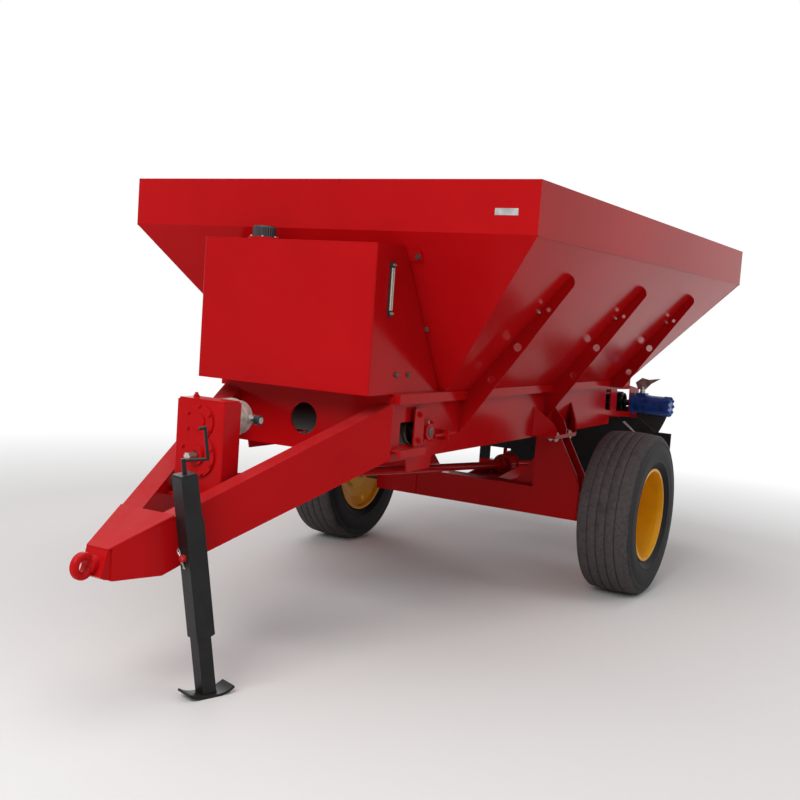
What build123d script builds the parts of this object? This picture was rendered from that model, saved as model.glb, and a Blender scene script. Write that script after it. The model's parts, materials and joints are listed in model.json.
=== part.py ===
"""Towed V-hopper spreader with a belt floor, twin spinner discs and a hydraulic drive.

Millimetres. X points to the left-hand side of the machine, Y to its rear and Z up.
Lengths along the machine are laid out from the front of the hopper rim (y = 0) and the ground
(z = 0); save() moves every piece so that the origin is on the ground under the middle of the machine.
"""

import math
import os

from build123d import *

# ---- driving dimensions ----------------------------------------------------------------------

# hopper
hopper_width = 2450.0        # over the rim
hopper_length = 4075.0       # over the rim
rim_top = 2350.0             # height of the rim
rim_band = 252.0             # upright band round the top
rim_fold = 55.0              # stiffening fold along the top edge
hopper_sheet = 5.0
front_run = 499.0            # how far the front wall leans in, down to its seat
rear_run = 455.0
throat_half = 410.0          # half width between the skirts, over the belt
skirt_gauge = 8.0
gate_half = 400.0
gate_rise = 180.0            # top of the closed gate over the beams
gate_gauge = 8.0
gate_lap = 20.0              # gate beyond the opening's edges
keeper_gauge = 6.0
keeper_rise = 470.0          # top of the gate's keepers over the beams

# side ribs
rib_gauge = 10.0
rib_foot_width = 10.0
rib_foot_drop = 225.0        # end of the rib on the web, under the beam's top
rib_tip_drop = 151.0         # tip under the hopper's fold
rib_tip_round = 20.0
rib_depth_top = 58.0         # out from the wall at the tip
rib_depth_low = 128.0        # out from the wall at the beam's lip

# side beams
beam_top = 1300.0
beam_depth = 343.0
beam_start = 14.0            # behind the hopper's front rim
beam_sheet = 8.0
beam_foot = 60.0             # bottom flange, inwards
web_x = 512.0                # outer face of the web
lip_out = 51.0               # flange outside the web
lip_depth = 50.0
web_end = 745.0              # end of the deep web, ahead of the hopper's rear rim
tail_end = 45.0
tail_top_front = 40.0        # the tail frame's edges, below the beam's top
tail_top_rear = 95.0
tail_low_front = 285.0
tail_low_rear = 338.0
front_window_start = 117.0
front_window_length = 172.0
front_window_depth = 120.0

# wheels and axle
wheel_radius = 519.0
wheel_track = 2167.0
tyre_width = 349.0
tyre_wall = 18.0
crown_drop = 9.0
rim_flange_radius = 297.5
bead_seat_radius = 286.0
rim_width = 296.0
rim_gauge = 9.0
disc_inset = 92.0            # wheel disc, inboard of the tyre's middle
hand_hole_circle = 236.0
hand_hole_radius = 18.0
axle_share = 0.531           # axle's place along the hopper
axle_depth = 150.0
axle_height = 184.0
axle_plate = 10.0
axle_drop = 13.0             # middle of the beam under the spindles
spindle_reach = 313.5        # end of the axle beam to the tyre's middle
spindle_radius = 38.0
shoulder_radius = 58.0
shoulder_length = 120.0
hub_radius = 92.0
hub_nose = 24.0              # end of the hub's bore, outboard of the tyre's middle
hub_flange_radius = 140.0
shelf_reach = 110.0          # bracket shelf outside the web
shelf_gauge = 12.0
column_width = 70.0
running_gap = 0.3
turning_fit = 0.05

# drawbar
nose_y = -1405.0
nose_half = 60.0
nose_top = 662.0
nose_bottom = 535.0
nose_slant = 35.0            # foot of the nose ahead of its top
nose_plate = 20.0
nose_cover_end = -1123.0
rail_rear_half = 530.0
rail_rear_top = 1251.0
rail_rear_bottom = 972.0
rail_width = 100.0
rail_wall = 8.0
rail_foot = 60.0             # foot plate under the rail's rear end
eye_reach = 42.0             # nose to the middle of the ring
eye_height = 605.0
eye_outer_radius = 58.0
eye_hole_radius = 25.0
eye_thickness = 38.0
eye_round = 14.0             # rounding of the ring's edges
eye_shank_radius = 21.0
collar_radius = 36.0
nut_length = 26.0

# parking jack
jack_y = -1071.0             # where its pivot leaves the rail
jack_stub = 32.0
jack_outer = 80.0
jack_wall = 7.0
jack_lean = 9.5              # degrees, foot to the rear
pivot_z = 625.0
pivot_radius = 20.0
jack_above = 350.0           # outer tube above the pivot
jack_below = 362.0
foot_length = 230.0
foot_width = 95.0
foot_gauge = 12.0
foot_upturn = 26.0
foot_flat = 35.0             # half length of the foot's flat middle
lock_pin_radius = 15.0
lock_pin_length = 14.0
spine_gauge = 12.0           # plate down the back of the outer tube
spine_top = 190.0            # its end above the pivot
crank_radius = 7.0
crank_rise = 58.0
crank_arm = 103.0
crank_turn = 48.0            # degrees, from straight out towards the rear
crank_handle = 134.0
crank_tip = 24.0

# gearbox and pump
gearbox_width = 276.0
gearbox_depth = 125.0
gearbox_front = -813.0
gearbox_bottom = 812.0
gearbox_top = 1246.0
seat_gauge = 12.0
seat_margin = 25.0
input_z = 1000.0
pump_shaft_z = 1153.0
input_cover_radius = 100.0
upper_cover_radius = 82.0
cover_gauge = 12.0
pto_radius = 17.5
pto_length = 76.0
pump_offset = 32.0           # pump's middle, to the left
pump_radius = 90.0
pump_length = 120.0
pump_port_reach = 150.0

# drive line to the spreading unit
line_front_z = 873.0         # where it leaves the gearbox
line_radius = 25.0
coupling_radius = 40.0
coupling_length = 65.0
housing_reach = 393.0        # housing's face behind the axle's middle
housing_z = 646.0
housing_radius = 73.0
housing_length = 150.0
housing_rim = 22.0
cradle_half = 120.0
cradle_gauge = 12.0
cradle_top = 640.0

# oil tank
tank_half = 522.0
tank_front = -233.0
tank_top = 2024.0
tank_gap = 10.0              # between the tank and the hopper's front wall
tank_gauge = 4.0
cap_x = -219.0
cap_y = -133.0
cap_radius = 60.0
cap_height = 58.0
neck_radius = 82.0
gauge_y = -90.0
gauge_low = 1680.0
gauge_length = 265.0
lug_inset = 40.0             # lap of the tank's ears behind the tank
upper_lug_reach = 78.0       # out from the tank's side
upper_lug_z = 1988.0
upper_lug_half = 28.0
lower_lug_reach = 24.0
lower_lug_z = 1633.0
lower_lug_half = 20.0

# conveyor
roller_radius = 75.0
belt_thickness = 8.0
belt_half = 420.0
front_roller_y = 380.0
drive_roller_end = 185.0     # drive roller ahead of the hopper's rear rim
roller_z = 1092.0
shaft_radius = 25.0
carry_radius = 44.5
carry_count = 6
member_count = 5
member_depth = 45.0
member_half = 45.0
bearing_half = 60.0
motor_radius = 76.0
motor_end_x = 825.0

# front cross member and take-up
member_hole_radius = 82.5
member_hole_z = 1124.0
front_plate = 10.0
guard_shelf_z = 1022.0
guard_shelf_out = 60.0
strap_width = 100.0
strap_stand = 22.0
strap_top = 1222.0

# spreading unit
disc_radius = 290.0
disc_x = 335.0
disc_end = 55.0              # disc centres ahead of the hopper's rear rim
disc_z = 615.0
vane_height = 50.0
vane_count = 6
guard_end = 515.0            # guard ahead of the hopper's rear rim
guard_gauge = 8.0
guard_half = 938.0
guard_top = 913.0
guard_bottom = 630.0
guard_peak = 1005.0
guard_under_belt = 985.0
shield_half = 380.0
post_inner = 565.0
post_outer = 660.0
sill_top = 520.0             # tapered beam under the guard
sill_end = 472.0
sill_bottom = 360.0
sill_depth = 70.0
sill_sheet = 8.0
drive_z = 540.0              # cross shafts under the discs
drive_shaft_radius = 14.0
drive_coupling_radius = 26.0
drive_coupling_length = 60.0
bevel_half = 65.0
bevel_depth = 110.0
deck_half = 430.0
deck_gauge = 8.0
apron_half = 758.0
apron_top = 1050.0
apron_bottom = 700.0
apron_gauge = 10.0

# ---- values that follow ----------------------------------------------------------------------

rim_half = hopper_width / 2
fold_z = rim_top - rim_band
beam_bottom = beam_top - beam_depth
seat_half = web_x + lip_out - hopper_sheet
side_slope = (rim_half - seat_half) / (fold_z - beam_top)
front_slope = front_run / (fold_z - beam_top)
rear_slope = rear_run / (fold_z - beam_top)
gate_top = beam_top + gate_rise
belt_top = roller_z + roller_radius + running_gap + belt_thickness
lip_x = web_x + lip_out
inner_half = web_x - beam_sheet
web_rear = hopper_length - web_end
tail_rear = hopper_length - tail_end
drive_roller_y = hopper_length - drive_roller_end
axle_y = hopper_length * axle_share
axle_half = wheel_track / 2 - spindle_reach
axle_z = wheel_radius - axle_drop
axle_top = axle_z + axle_height / 2
rail_angle = math.atan2(rail_rear_half - nose_half, -nose_y)
rail_rise = (rail_rear_top - nose_top) / -nose_y
nose_face = nose_y - nose_slant
eye_y = nose_face - eye_reach
gearbox_rear = gearbox_front + gearbox_depth
housing_y = axle_y + housing_reach
housing_rear = housing_y + housing_length
housing_body = housing_radius - 8
cradle_floor = housing_z - housing_radius - running_gap
disc_y = hopper_length - disc_end
guard_y = hopper_length - guard_end
guard_shaft_z = housing_z + (drive_z - housing_z) * (guard_y - housing_rear) / (disc_y - bevel_half - housing_rear)
rib_places = (hopper_length * 0.19, hopper_length * 0.496, hopper_length * 0.774)
carry_pitch = (drive_roller_y - front_roller_y) / (carry_count + 1)
member_pitch = (web_rear - front_roller_y) / member_count
reach_front = eye_y - eye_outer_radius
reach_rear = max(hopper_length, disc_y + disc_radius)
middle_y = (reach_front + reach_rear) / 2
rail_normal = (math.cos(rail_angle), -math.sin(rail_angle), 0.0)
rail_along = (math.sin(rail_angle), math.cos(rail_angle), 0.0)


def rail_outer(y):
    """Outer face of the drawbar rail at a place along the machine."""
    return nose_half + math.tan(rail_angle) * (y - nose_y)


def rail_inner(y):
    return rail_outer(y) - rail_width / math.cos(rail_angle)


def rail_top_at(y):
    return nose_top + rail_rise * (y - nose_y)


def wall_x(z):
    """Outer face of the hopper's side wall at a height."""
    return seat_half + side_slope * (z - beam_top)


def wall_z_at(x):
    return beam_top + (x - seat_half) / side_slope


def front_y(z):
    """Outer face of the hopper's front wall at a height."""
    return front_slope * (fold_z - z)


def rear_y(z):
    """Outer face of the hopper's rear wall at a height."""
    return hopper_length - rear_run + rear_slope * (z - beam_top)


def save(shape, node):
    export_step(Pos(0, -middle_y, 0) * shape, f"parts/{node}.step")


def block(x0, x1, y0, y1, z0, z1):
    return Pos((x0 + x1) / 2, (y0 + y1) / 2, (z0 + z1) / 2) * Box(x1 - x0, y1 - y0, z1 - z0)


def side_plate(points, x0, x1):
    """Plate with its outline given as (y, z), from x0 to x1."""
    plane = Plane(origin=(x0, 0, 0), x_dir=(0, 1, 0), z_dir=(1, 0, 0))
    return extrude(plane * Polygon(*points, align=None), x1 - x0, dir=(1, 0, 0))


def cross_plate(points, y0, y1):
    """Plate with its outline given as (x, z), from y0 to y1."""
    plane = Plane(origin=(0, y0, 0), x_dir=(1, 0, 0), z_dir=(0, -1, 0))
    return extrude(plane * Polygon(*points, align=None), y1 - y0, dir=(0, 1, 0))


def flat_plate(points, z0, z1):
    """Plate with its outline given as (x, y), from z0 to z1."""
    return extrude(Pos(0, 0, z0) * Polygon(*points, align=None), z1 - z0, dir=(0, 0, 1))


def rod(start, along, length, radius, inner=0.0):
    """Round bar or tube from a point along a direction."""
    plane = Plane(origin=start, z_dir=along)
    ring = plane * Circle(radius)
    if inner:
        ring -= plane * Circle(inner)
    return extrude(ring, length)


def bar_between(start, end, radius):
    """Round bar from one point to another."""
    along = tuple(b - a for a, b in zip(start, end))
    return rod(start, along, math.dist(start, end), radius)


def both_sides(shape):
    return shape + mirror(shape, about=Plane.YZ)


def frustum(low, high):
    """Solid between two level rectangles, each given as (half width, y front, y rear, z)."""
    faces = []
    for half, y0, y1, z in (low, high):
        faces.append(Pos(0, (y0 + y1) / 2, z) * Rectangle(2 * half, y1 - y0))
    return loft(faces, ruled=True)


# ---- hopper ----------------------------------------------------------------------------------

def hopper_shell():
    side_gauge = hopper_sheet * math.hypot(1, side_slope)
    front_gauge = hopper_sheet * math.hypot(1, front_slope)
    rear_gauge = hopper_sheet * math.hypot(1, rear_slope)
    outer = block(-rim_half, rim_half, 0, hopper_length, fold_z, rim_top)
    outer += frustum((seat_half, front_run, hopper_length - rear_run, beam_top),
                     (rim_half, 0, hopper_length, fold_z))
    low = (seat_half - side_gauge, front_run + front_gauge, hopper_length - rear_run - rear_gauge, beam_top)
    high = (rim_half - side_gauge, front_gauge, hopper_length - rear_gauge, fold_z)
    inner = frustum(low, high)
    inner += block(-rim_half + hopper_sheet, rim_half - hopper_sheet, hopper_sheet,
                   hopper_length - hopper_sheet, fold_z, rim_top - hopper_sheet)
    inner += block(-rim_half + rim_fold, rim_half - rim_fold, rim_fold,
                   hopper_length - rim_fold, rim_top - 2 * hopper_sheet, rim_top)
    opening = gate_half - gate_lap
    return outer - inner - block(-opening, opening, hopper_length / 2, hopper_length,
                                 beam_top - 1, gate_top - 2 * gate_lap)


def rear_strip(low, high, y_in, y_out, x0, x1):
    """Strip along the rear wall between two heights, its depth measured back from the wall."""
    outline = [(rear_y(low) + y_in, low), (rear_y(low) + y_out, low),
               (rear_y(high) + y_out, high), (rear_y(high) + y_in, high)]
    return side_plate(outline, x0, x1)


def gate():
    """Sliding gate behind the discharge opening, down to the belt."""
    off = running_gap * math.hypot(1, rear_slope)
    back = off + gate_gauge * math.hypot(1, rear_slope)
    plate = rear_strip(belt_top + 12, gate_top, off, back, -gate_half, gate_half)
    grip_z = gate_top - 3 * gate_lap
    foot = rear_y(grip_z) + back
    grip = block(-90, 90, foot - 6, foot + 40, grip_z - 6, grip_z + 6)
    return plate + grip


def gate_guides():
    """Angle keepers along both edges of the gate, up the rear wall."""
    back = (gate_gauge + 2 * running_gap) * math.hypot(1, rear_slope)
    cover = keeper_gauge * math.hypot(1, rear_slope)
    low = beam_top + 4
    high = beam_top + keeper_rise
    edge = gate_half + running_gap
    spacer = rear_strip(low, high, 0, back, edge, edge + 30)
    keeper = rear_strip(low, high, back, back + cover, gate_half - gate_lap, edge + 30)
    return both_sides(spacer + keeper)


def skirts():
    """Sloping boards that close the throat between the beams and the belt."""
    low = belt_top + 4
    side = [(throat_half, low), (throat_half + skirt_gauge, low), (inner_half, beam_top),
            (inner_half - skirt_gauge, beam_top)]
    y0 = front_run
    y1 = rear_y(beam_top)
    board = cross_plate(side, y0, y1)
    front = cross_plate([(-throat_half, low), (throat_half, low), (inner_half - skirt_gauge, beam_top),
                         (skirt_gauge - inner_half, beam_top)], y0, y0 + skirt_gauge)
    return both_sides(board) + front


def hopper_ribs():
    """Tapered outriggers from the beam's web up under the side wall, with a rounded tip."""
    tip_z = fold_z - rib_tip_drop
    tip_x = wall_x(tip_z)
    knee = wall_x(beam_top + lip_depth)
    outline = [(web_x, beam_top - rib_foot_drop), (web_x + rib_foot_width, beam_top - rib_foot_drop),
               (lip_x + rib_depth_low, beam_top - lip_depth * 0.7),
               (knee + rib_depth_low + 2 * rib_tip_round, beam_top + 177),
               (tip_x + rib_depth_top - 24, tip_z - 34), (tip_x + rib_depth_top - 24, tip_z),
               (tip_x, tip_z), (lip_x, wall_z_at(lip_x)), (lip_x, beam_top - lip_depth),
               (web_x, beam_top - lip_depth)]
    rib = cross_plate(outline, -rib_gauge / 2, rib_gauge / 2)
    rib = fillet(rib.edges().filter_by(Axis.Y).sort_by(Axis.X)[-2:], rib_tip_round - 4)
    # height over the beam's top, distance out from the wall and radius of each hole
    holes = [(466, 46, 12), (256, 74, 23), (74, 92, 15)]
    for up, out, radius in holes:
        rib -= rod((wall_x(beam_top + up) + out, -rib_gauge, beam_top + up), (0, 1, 0), 2 * rib_gauge, radius)
    ribs = Pos(0, rib_places[0], 0) * rib
    for y in rib_places[1:]:
        ribs += Pos(0, y, 0) * rib
    return ribs


# ---- chassis ---------------------------------------------------------------------------------

def tail_edge(y, front, rear):
    """Height of a sloping edge of the tail frame, from its drops at the web's end and at the rear."""
    share = (y - web_rear) / (tail_rear - web_rear)
    return beam_top - front - share * (rear - front)


def tail_window(y0, y1, lean):
    """Opening in the tail frame, as an outline inside its sloping edges."""
    top = tail_top_front + 38
    low = tail_low_front - 45
    return [(y0 + lean, tail_edge(y0, low, tail_low_rear - 45)), (y1 + lean, tail_edge(y1, low, tail_low_rear - 45)),
            (y1, tail_edge(y1, top, tail_top_rear + 5)), (y0, tail_edge(y0, top, tail_top_rear + 5))]


def side_beam():
    """Left-hand beam: deep folded web with an outer lip, a bottom flange and a light tail frame."""
    t = beam_sheet
    section = [(web_x - beam_foot, beam_bottom), (web_x, beam_bottom), (web_x, beam_top - t),
               (lip_x - t, beam_top - t), (lip_x - t, beam_top - lip_depth), (lip_x, beam_top - lip_depth),
               (lip_x, beam_top), (web_x - t, beam_top), (web_x - t, beam_bottom + t),
               (web_x - beam_foot, beam_bottom + t)]
    beam = cross_plate(section, beam_start, web_rear)
    beam += block(web_x, lip_x, beam_start, beam_start + t, beam_top - lip_depth, beam_top)
    window = block(web_x - 2 * t, web_x + t, front_window_start, front_window_start + front_window_length,
                   roller_z - front_window_depth / 2, roller_z + front_window_depth / 2)
    beam -= fillet(window.edges().filter_by(Axis.X), 12)
    # slot in which the front roller's shaft is drawn back and forth
    slot = Plane(origin=(web_x - 2 * t, front_roller_y, roller_z), x_dir=(0, 1, 0), z_dir=(1, 0, 0))
    beam -= extrude(slot * SlotOverall(2 * bearing_half - 14, 2 * shaft_radius + 10), 4 * t)
    tab = side_plate([(front_window_start + 83, beam_bottom), (front_window_start + 364, beam_bottom),
                      (front_window_start + 345, beam_bottom - 68), (front_window_start + 102, beam_bottom - 68)],
                     web_x - t, web_x)
    seat_rear = rear_y(beam_top)
    tail = side_plate([(web_rear - 1, beam_top - tail_low_front), (tail_rear, beam_top - tail_low_rear),
                       (tail_rear, beam_top - tail_top_rear), (seat_rear, beam_top - tail_top_front),
                       (seat_rear, beam_top), (web_rear - 1, beam_top)], web_x - t, web_x)
    tail -= rod((web_x - 2 * t, drive_roller_y, roller_z), (1, 0, 0), 4 * t, shaft_radius + 12)
    flange = block(web_x - t, lip_x, web_rear - 1, seat_rear, beam_top - t, beam_top)
    lip = block(lip_x - t, lip_x, web_rear - 1, seat_rear, beam_top - lip_depth, beam_top)
    beam += tab + tail + flange + lip
    for y0, y1 in ((web_rear - 115, web_rear), (web_rear + 145, drive_roller_y - 90)):
        beam -= side_plate(tail_window(y0, y1, 12), web_x - 2 * t, web_x + 1)
    return beam


def front_member():
    """Front cross member: a plate with a round lightening hole and a turned lower flange."""
    chamfer = 40.0
    low = beam_bottom + beam_sheet
    y0 = beam_start - 2 - front_plate
    outline = [(-rail_rear_half, low), (rail_rear_half, low), (rail_rear_half, beam_top - chamfer / 2),
               (rail_rear_half - chamfer, beam_top), (chamfer - rail_rear_half, beam_top),
               (-rail_rear_half, beam_top - chamfer / 2)]
    plate = cross_plate(outline, y0, beam_start)
    plate -= rod((0, y0 - 5, member_hole_z), (0, 1, 0), 2 * front_plate, member_hole_radius)
    half = inner_half - 1
    lower = block(-half, half, y0, 84, low, low + beam_sheet)
    return plate + lower


def cross_members():
    """Channel members between the beams, under the belt."""
    members = None
    low = beam_bottom + beam_sheet
    lip = 6.0
    for i in range(member_count):
        y = front_roller_y + member_pitch * (i + 1) - member_half
        y0, y1 = y - member_half, y + member_half
        outline = [(y0, low), (y1, low), (y1, low + member_depth - beam_sheet),
                   (y1 - lip, low + member_depth - beam_sheet), (y1 - lip, low + lip), (y0 + lip, low + lip),
                   (y0 + lip, low + member_depth - beam_sheet), (y0, low + member_depth - beam_sheet)]
        member = side_plate(outline, -inner_half, inner_half)
        members = member if members is None else members + member
    return members


def axle_brackets():
    """Fan brackets on the webs: a shelf and three gussets above each axle upright."""
    reach = web_x + shelf_reach
    shelf_top = beam_bottom + shelf_gauge
    spread = 330.0
    edge_spread = 175.0
    shelf = flat_plate([(web_x, axle_y - 260), (reach, axle_y - 190), (reach, axle_y + 190),
                        (web_x, axle_y + 260)], beam_bottom, shelf_top)
    bracket = shelf
    for side in (-1, 0, 1):
        run = math.hypot(shelf_reach, side * (spread - edge_spread))
        out = (shelf_reach / run, side * (edge_spread - spread) / run, 0)
        plane = Plane(origin=(web_x, axle_y + side * spread, 0), x_dir=out, z_dir=(out[1], -out[0], 0))
        outline = [(0, shelf_top), (run, shelf_top), (run, shelf_top + 38),
                   (run * 0.8, shelf_top + 88), (0, shelf_top + 188)]
        bracket += extrude(plane * Polygon(*outline, align=None), rib_gauge / 2, both=True)
    bracket -= block(web_x - 50, web_x, axle_y - 500, axle_y + 500, beam_bottom - 50, beam_top)
    return both_sides(bracket)


def axle_beam():
    """Box beam, with the cradle behind it that carries the drive line's housing."""
    y0, y1 = axle_y - axle_depth / 2, axle_y + axle_depth / 2
    low = axle_top - axle_height
    wall = axle_plate
    outer = block(-axle_half, axle_half, y0, y1, low, axle_top)
    inner = block(wall - axle_half, axle_half - wall, y0 + wall, y1 - wall, low + wall, axle_top - wall)
    end = housing_rear + cradle_gauge
    cradle = block(-cradle_half, cradle_half, y1, end, cradle_floor - cradle_gauge, cradle_floor)
    cheek = side_plate([(y1, cradle_floor), (y1, axle_top), (housing_y, cradle_top), (end, cradle_top),
                        (end, cradle_floor)], cradle_half - cradle_gauge, cradle_half)
    saddle = block(-housing_body, housing_body, housing_y + 2 * housing_rim, housing_rear - 2 * housing_rim,
                   cradle_floor, housing_z - housing_body / 2)
    saddle -= rod((0, housing_y, housing_z), (0, 1, 0), housing_length, housing_body + running_gap)
    return outer - inner + cradle + both_sides(cheek) + saddle


def axle_uprights():
    """Fabricated legs from the axle beam up to the fan brackets."""
    top = beam_bottom - running_gap
    inside = web_x - column_width
    cap_low = top - shelf_gauge
    column = block(inside, web_x, axle_y - column_width / 2, axle_y + column_width / 2, axle_top, cap_low)
    cap = block(inside - 10, web_x + shelf_reach, axle_y - 180, axle_y + 180, cap_low, top)
    outline = [(inside, axle_top), (axle_half, axle_top), (axle_half, axle_top + 42),
               (axle_half - 25, axle_top + 117), (web_x + shelf_reach - 4, cap_low), (inside, cap_low)]
    upright = column + cap
    for y in (axle_y - axle_depth / 2, axle_y + axle_depth / 2 - axle_plate):
        upright += cross_plate(outline, y, y + axle_plate)
    gusset = cross_plate([(inside - 164, axle_top), (inside, axle_top), (inside, axle_top + 233)],
                         axle_y - 6, axle_y + 6)
    return both_sides(upright + gusset)


def spindles():
    """Stub axles that carry the hubs."""
    start = (axle_half, axle_y, wheel_radius)
    pin = rod(start, (1, 0, 0), spindle_reach + hub_nose - 8, spindle_radius)
    shoulder = rod(start, (1, 0, 0), shoulder_length, shoulder_radius)
    return both_sides(pin + shoulder)


# ---- wheels ----------------------------------------------------------------------------------

def wheel_turn(outline):
    """Solid turned about the left wheel's axis from (x out from the tyre's middle, radius)."""
    face = make_face(outline)
    return Pos(wheel_track / 2, axle_y, wheel_radius) * revolve(face, Axis.X)


def tyre_outline(bead, foot_radius, wall_radius, half, shoulder, crown):
    """Half-round casing outline from bead to bead, as (x, radius) curves."""
    edge = 14.0
    top = crown - crown_drop
    return (Line((-bead, foot_radius), (-bead, wall_radius))
            + ThreePointArc((-bead, wall_radius), (-half, 395), (-shoulder, top - edge))
            + Line((-shoulder, top - edge), (-shoulder + edge, top))
            + ThreePointArc((-shoulder + edge, top), (0, crown), (shoulder - edge, top))
            + Line((shoulder - edge, top), (shoulder, top - edge))
            + ThreePointArc((shoulder, top - edge), (half, 395), (bead, wall_radius))
            + Line((bead, wall_radius), (bead, foot_radius))
            + Line((bead, foot_radius), (-bead, foot_radius)))


def tyre():
    half = tyre_width / 2
    bead = rim_width / 2 - rim_gauge
    outer = tyre_outline(bead, bead_seat_radius, rim_flange_radius + 4, half, half - 22, wheel_radius)
    inner = tyre_outline(bead - 26, bead_seat_radius - 1, rim_flange_radius + 10, half - tyre_wall,
                         half - 34, wheel_radius - 30)
    return wheel_turn(outer) - wheel_turn(inner)


def wheel_rim():
    half = rim_width / 2
    seat = bead_seat_radius
    inner = seat - rim_gauge
    barrel = Polyline((-half, seat), (-half, rim_flange_radius), (-half + rim_gauge, rim_flange_radius),
                      (-half + rim_gauge, seat), (half - rim_gauge, seat), (half - rim_gauge, rim_flange_radius),
                      (half, rim_flange_radius), (half, inner + 4), (half - 30, inner),
                      (-half + 30, inner), (-half, inner + 4), (-half, seat))
    dish = -disc_inset
    centre = hub_radius - 12
    disc = Polyline((dish + 14, centre), (dish + 14, 150), (dish + 2, 220), (dish - 16, 262),
                    (dish - 16, inner + 1), (dish - 26, inner + 1), (dish - 26, 262), (dish - 8, 212),
                    (dish + 4, 150), (dish + 4, centre), (dish + 14, centre))
    wheel = wheel_turn(barrel) + wheel_turn(disc)
    for i in range(5):
        angle = math.radians(72 * i)
        start = (wheel_track / 2 + dish - 40, axle_y + hand_hole_circle * math.cos(angle),
                 wheel_radius + hand_hole_circle * math.sin(angle))
        wheel -= rod(start, (1, 0, 0), 60, hand_hole_radius)
    return wheel


def hub():
    """Hub with its bolt flange, turning on the spindle."""
    dish = -disc_inset
    bore = spindle_radius + turning_fit
    body = Polyline((dish - 70, bore), (dish - 70, 62), (dish - 12, 70), (dish - 12, hub_flange_radius),
                    (dish + 4, hub_flange_radius), (dish + 4, hub_radius - 14), (hub_nose - 6, 62),
                    (hub_nose + 16, 48), (hub_nose + 22, 30), (hub_nose + 22, 0), (hub_nose, 0),
                    (hub_nose, bore), (dish - 70, bore))
    return wheel_turn(body)


# ---- drawbar ---------------------------------------------------------------------------------

def drawbar_rails():
    """Two tapering box rails that meet at the nose."""
    slant = math.cos(rail_angle)
    length = -nose_y / slant
    profile = [(0, nose_top), (0, nose_bottom + 4), (27, nose_bottom), (239 / slant, nose_bottom - 2),
               (320 / slant, nose_bottom + 33), (length, rail_rear_bottom), (length, rail_rear_top)]
    plane = Plane(origin=(nose_half, nose_y, 0), x_dir=rail_along, z_dir=rail_normal)
    solid = extrude(plane * Polygon(*profile, align=None), -rail_width)
    hollow_face = offset(plane * Polygon(*profile, align=None), -rail_wall)
    hollow = extrude(hollow_face, -rail_width + rail_wall)
    hollow -= extrude(hollow_face, -rail_wall)
    foot = flat_plate([(rail_rear_half - rail_width - 20, -rail_foot), (rail_rear_half - 22, -rail_foot),
                       (rail_rear_half - 4, 0), (rail_rear_half - rail_width, 0)],
                      rail_rear_bottom - 10, rail_rear_bottom)
    rail = solid - hollow + foot
    # mitred where the two rails meet, and squared against the cross member and the nose
    far = 2 * rail_rear_half
    rail -= block(-far, 0, nose_y - far, far, 0, rim_top)
    rail -= block(-far, far, beam_start - 2 - front_plate, far, 0, rim_top)
    rail -= block(-far, far, nose_y - far, nose_y + nose_plate, 0, rim_top)
    # room for the eye's nut
    room = collar_radius + 12
    rail -= block(-10, room - 2, nose_y, nose_y + nose_plate + 2 * nut_length + 3,
                  eye_height - room - 4, eye_height + room - 1)
    return rail


def drawbar_nose():
    """Top plate and the slanting front block that carries the tow eye."""
    back = nose_cover_end
    y0 = nose_y
    outline = [(-nose_half, y0), (nose_half, y0), (rail_outer(back), back), (-rail_outer(back), back)]
    cover = side_plate([(y0, rail_top_at(y0)), (back, rail_top_at(back)), (back, rail_top_at(back) + 10),
                        (y0, rail_top_at(y0) + 10)], -rail_rear_half, rail_rear_half)
    cover &= flat_plate(outline, 0, rim_top)
    rear = y0 + nose_plate
    front = side_plate([(y0, nose_top), (nose_face, nose_bottom + 24), (nose_face + 20, nose_bottom + 12),
                        (rear, nose_bottom + 4), (rear, nose_top)], -nose_half, nose_half)
    front += rod((0, rear, eye_height), (0, -1, 0), rear - nose_face, collar_radius)
    front -= rod((0, nose_face - 5, eye_height), (0, 1, 0), rear - nose_face + 10, eye_shank_radius + turning_fit)
    return cover + front


def tow_eye():
    """Swivel ring eye, rounded all over, with a round collar and a shank through the nose."""
    ring = rod((-eye_thickness / 2, eye_y, eye_height), (1, 0, 0), eye_thickness, eye_outer_radius, eye_hole_radius)
    ring = fillet(ring.edges().filter_by(GeomType.CIRCLE), eye_round)
    flat = nose_face - 6
    ring -= block(-eye_thickness, eye_thickness, flat, flat + eye_outer_radius, 0, rim_top)
    collar = rod((0, nose_face - running_gap, eye_height), (0, -1, 0), 12, collar_radius)
    shank = rod((0, nose_face - 2, eye_height), (0, 1, 0), nose_slant + nose_plate + nut_length, eye_shank_radius)
    nut = rod((0, nose_y + nose_plate + running_gap, eye_height), (0, 1, 0), nut_length, 34)
    return ring + collar + shank + nut


# ---- parking jack ----------------------------------------------------------------------------

jack_centre = (rail_outer(jack_y) + rail_normal[0] * (jack_stub + jack_outer / 2),
               jack_y + rail_normal[1] * (jack_stub + jack_outer / 2), pivot_z)
lean = math.radians(jack_lean)
jack_up = (-rail_along[0] * math.sin(lean), -rail_along[1] * math.sin(lean), math.cos(lean))
jack_back = (rail_along[0] * math.cos(lean), rail_along[1] * math.cos(lean), math.sin(lean))
jack_ahead = tuple(-d for d in jack_back)
leg_length = pivot_z / math.cos(lean)


def jack_point(out, back, up):
    """Point by its distances from the jack's pivot: out from the rail, to the tube's back, and up it."""
    return tuple(c + out * n + back * b + up * u
                 for c, n, b, u in zip(jack_centre, rail_normal, jack_back, jack_up))


def jack_plane(up):
    """Plane across the jack's tube, a distance up from its pivot; its X is out from the rail."""
    return Plane(origin=jack_point(0, 0, up), x_dir=rail_normal, z_dir=jack_up)


def square_tube(up0, up1, side, wall):
    plane = jack_plane(up0)
    face = plane * Rectangle(side, side)
    face -= plane * Rectangle(side - 2 * wall, side - 2 * wall)
    return extrude(face, up1 - up0)


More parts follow.
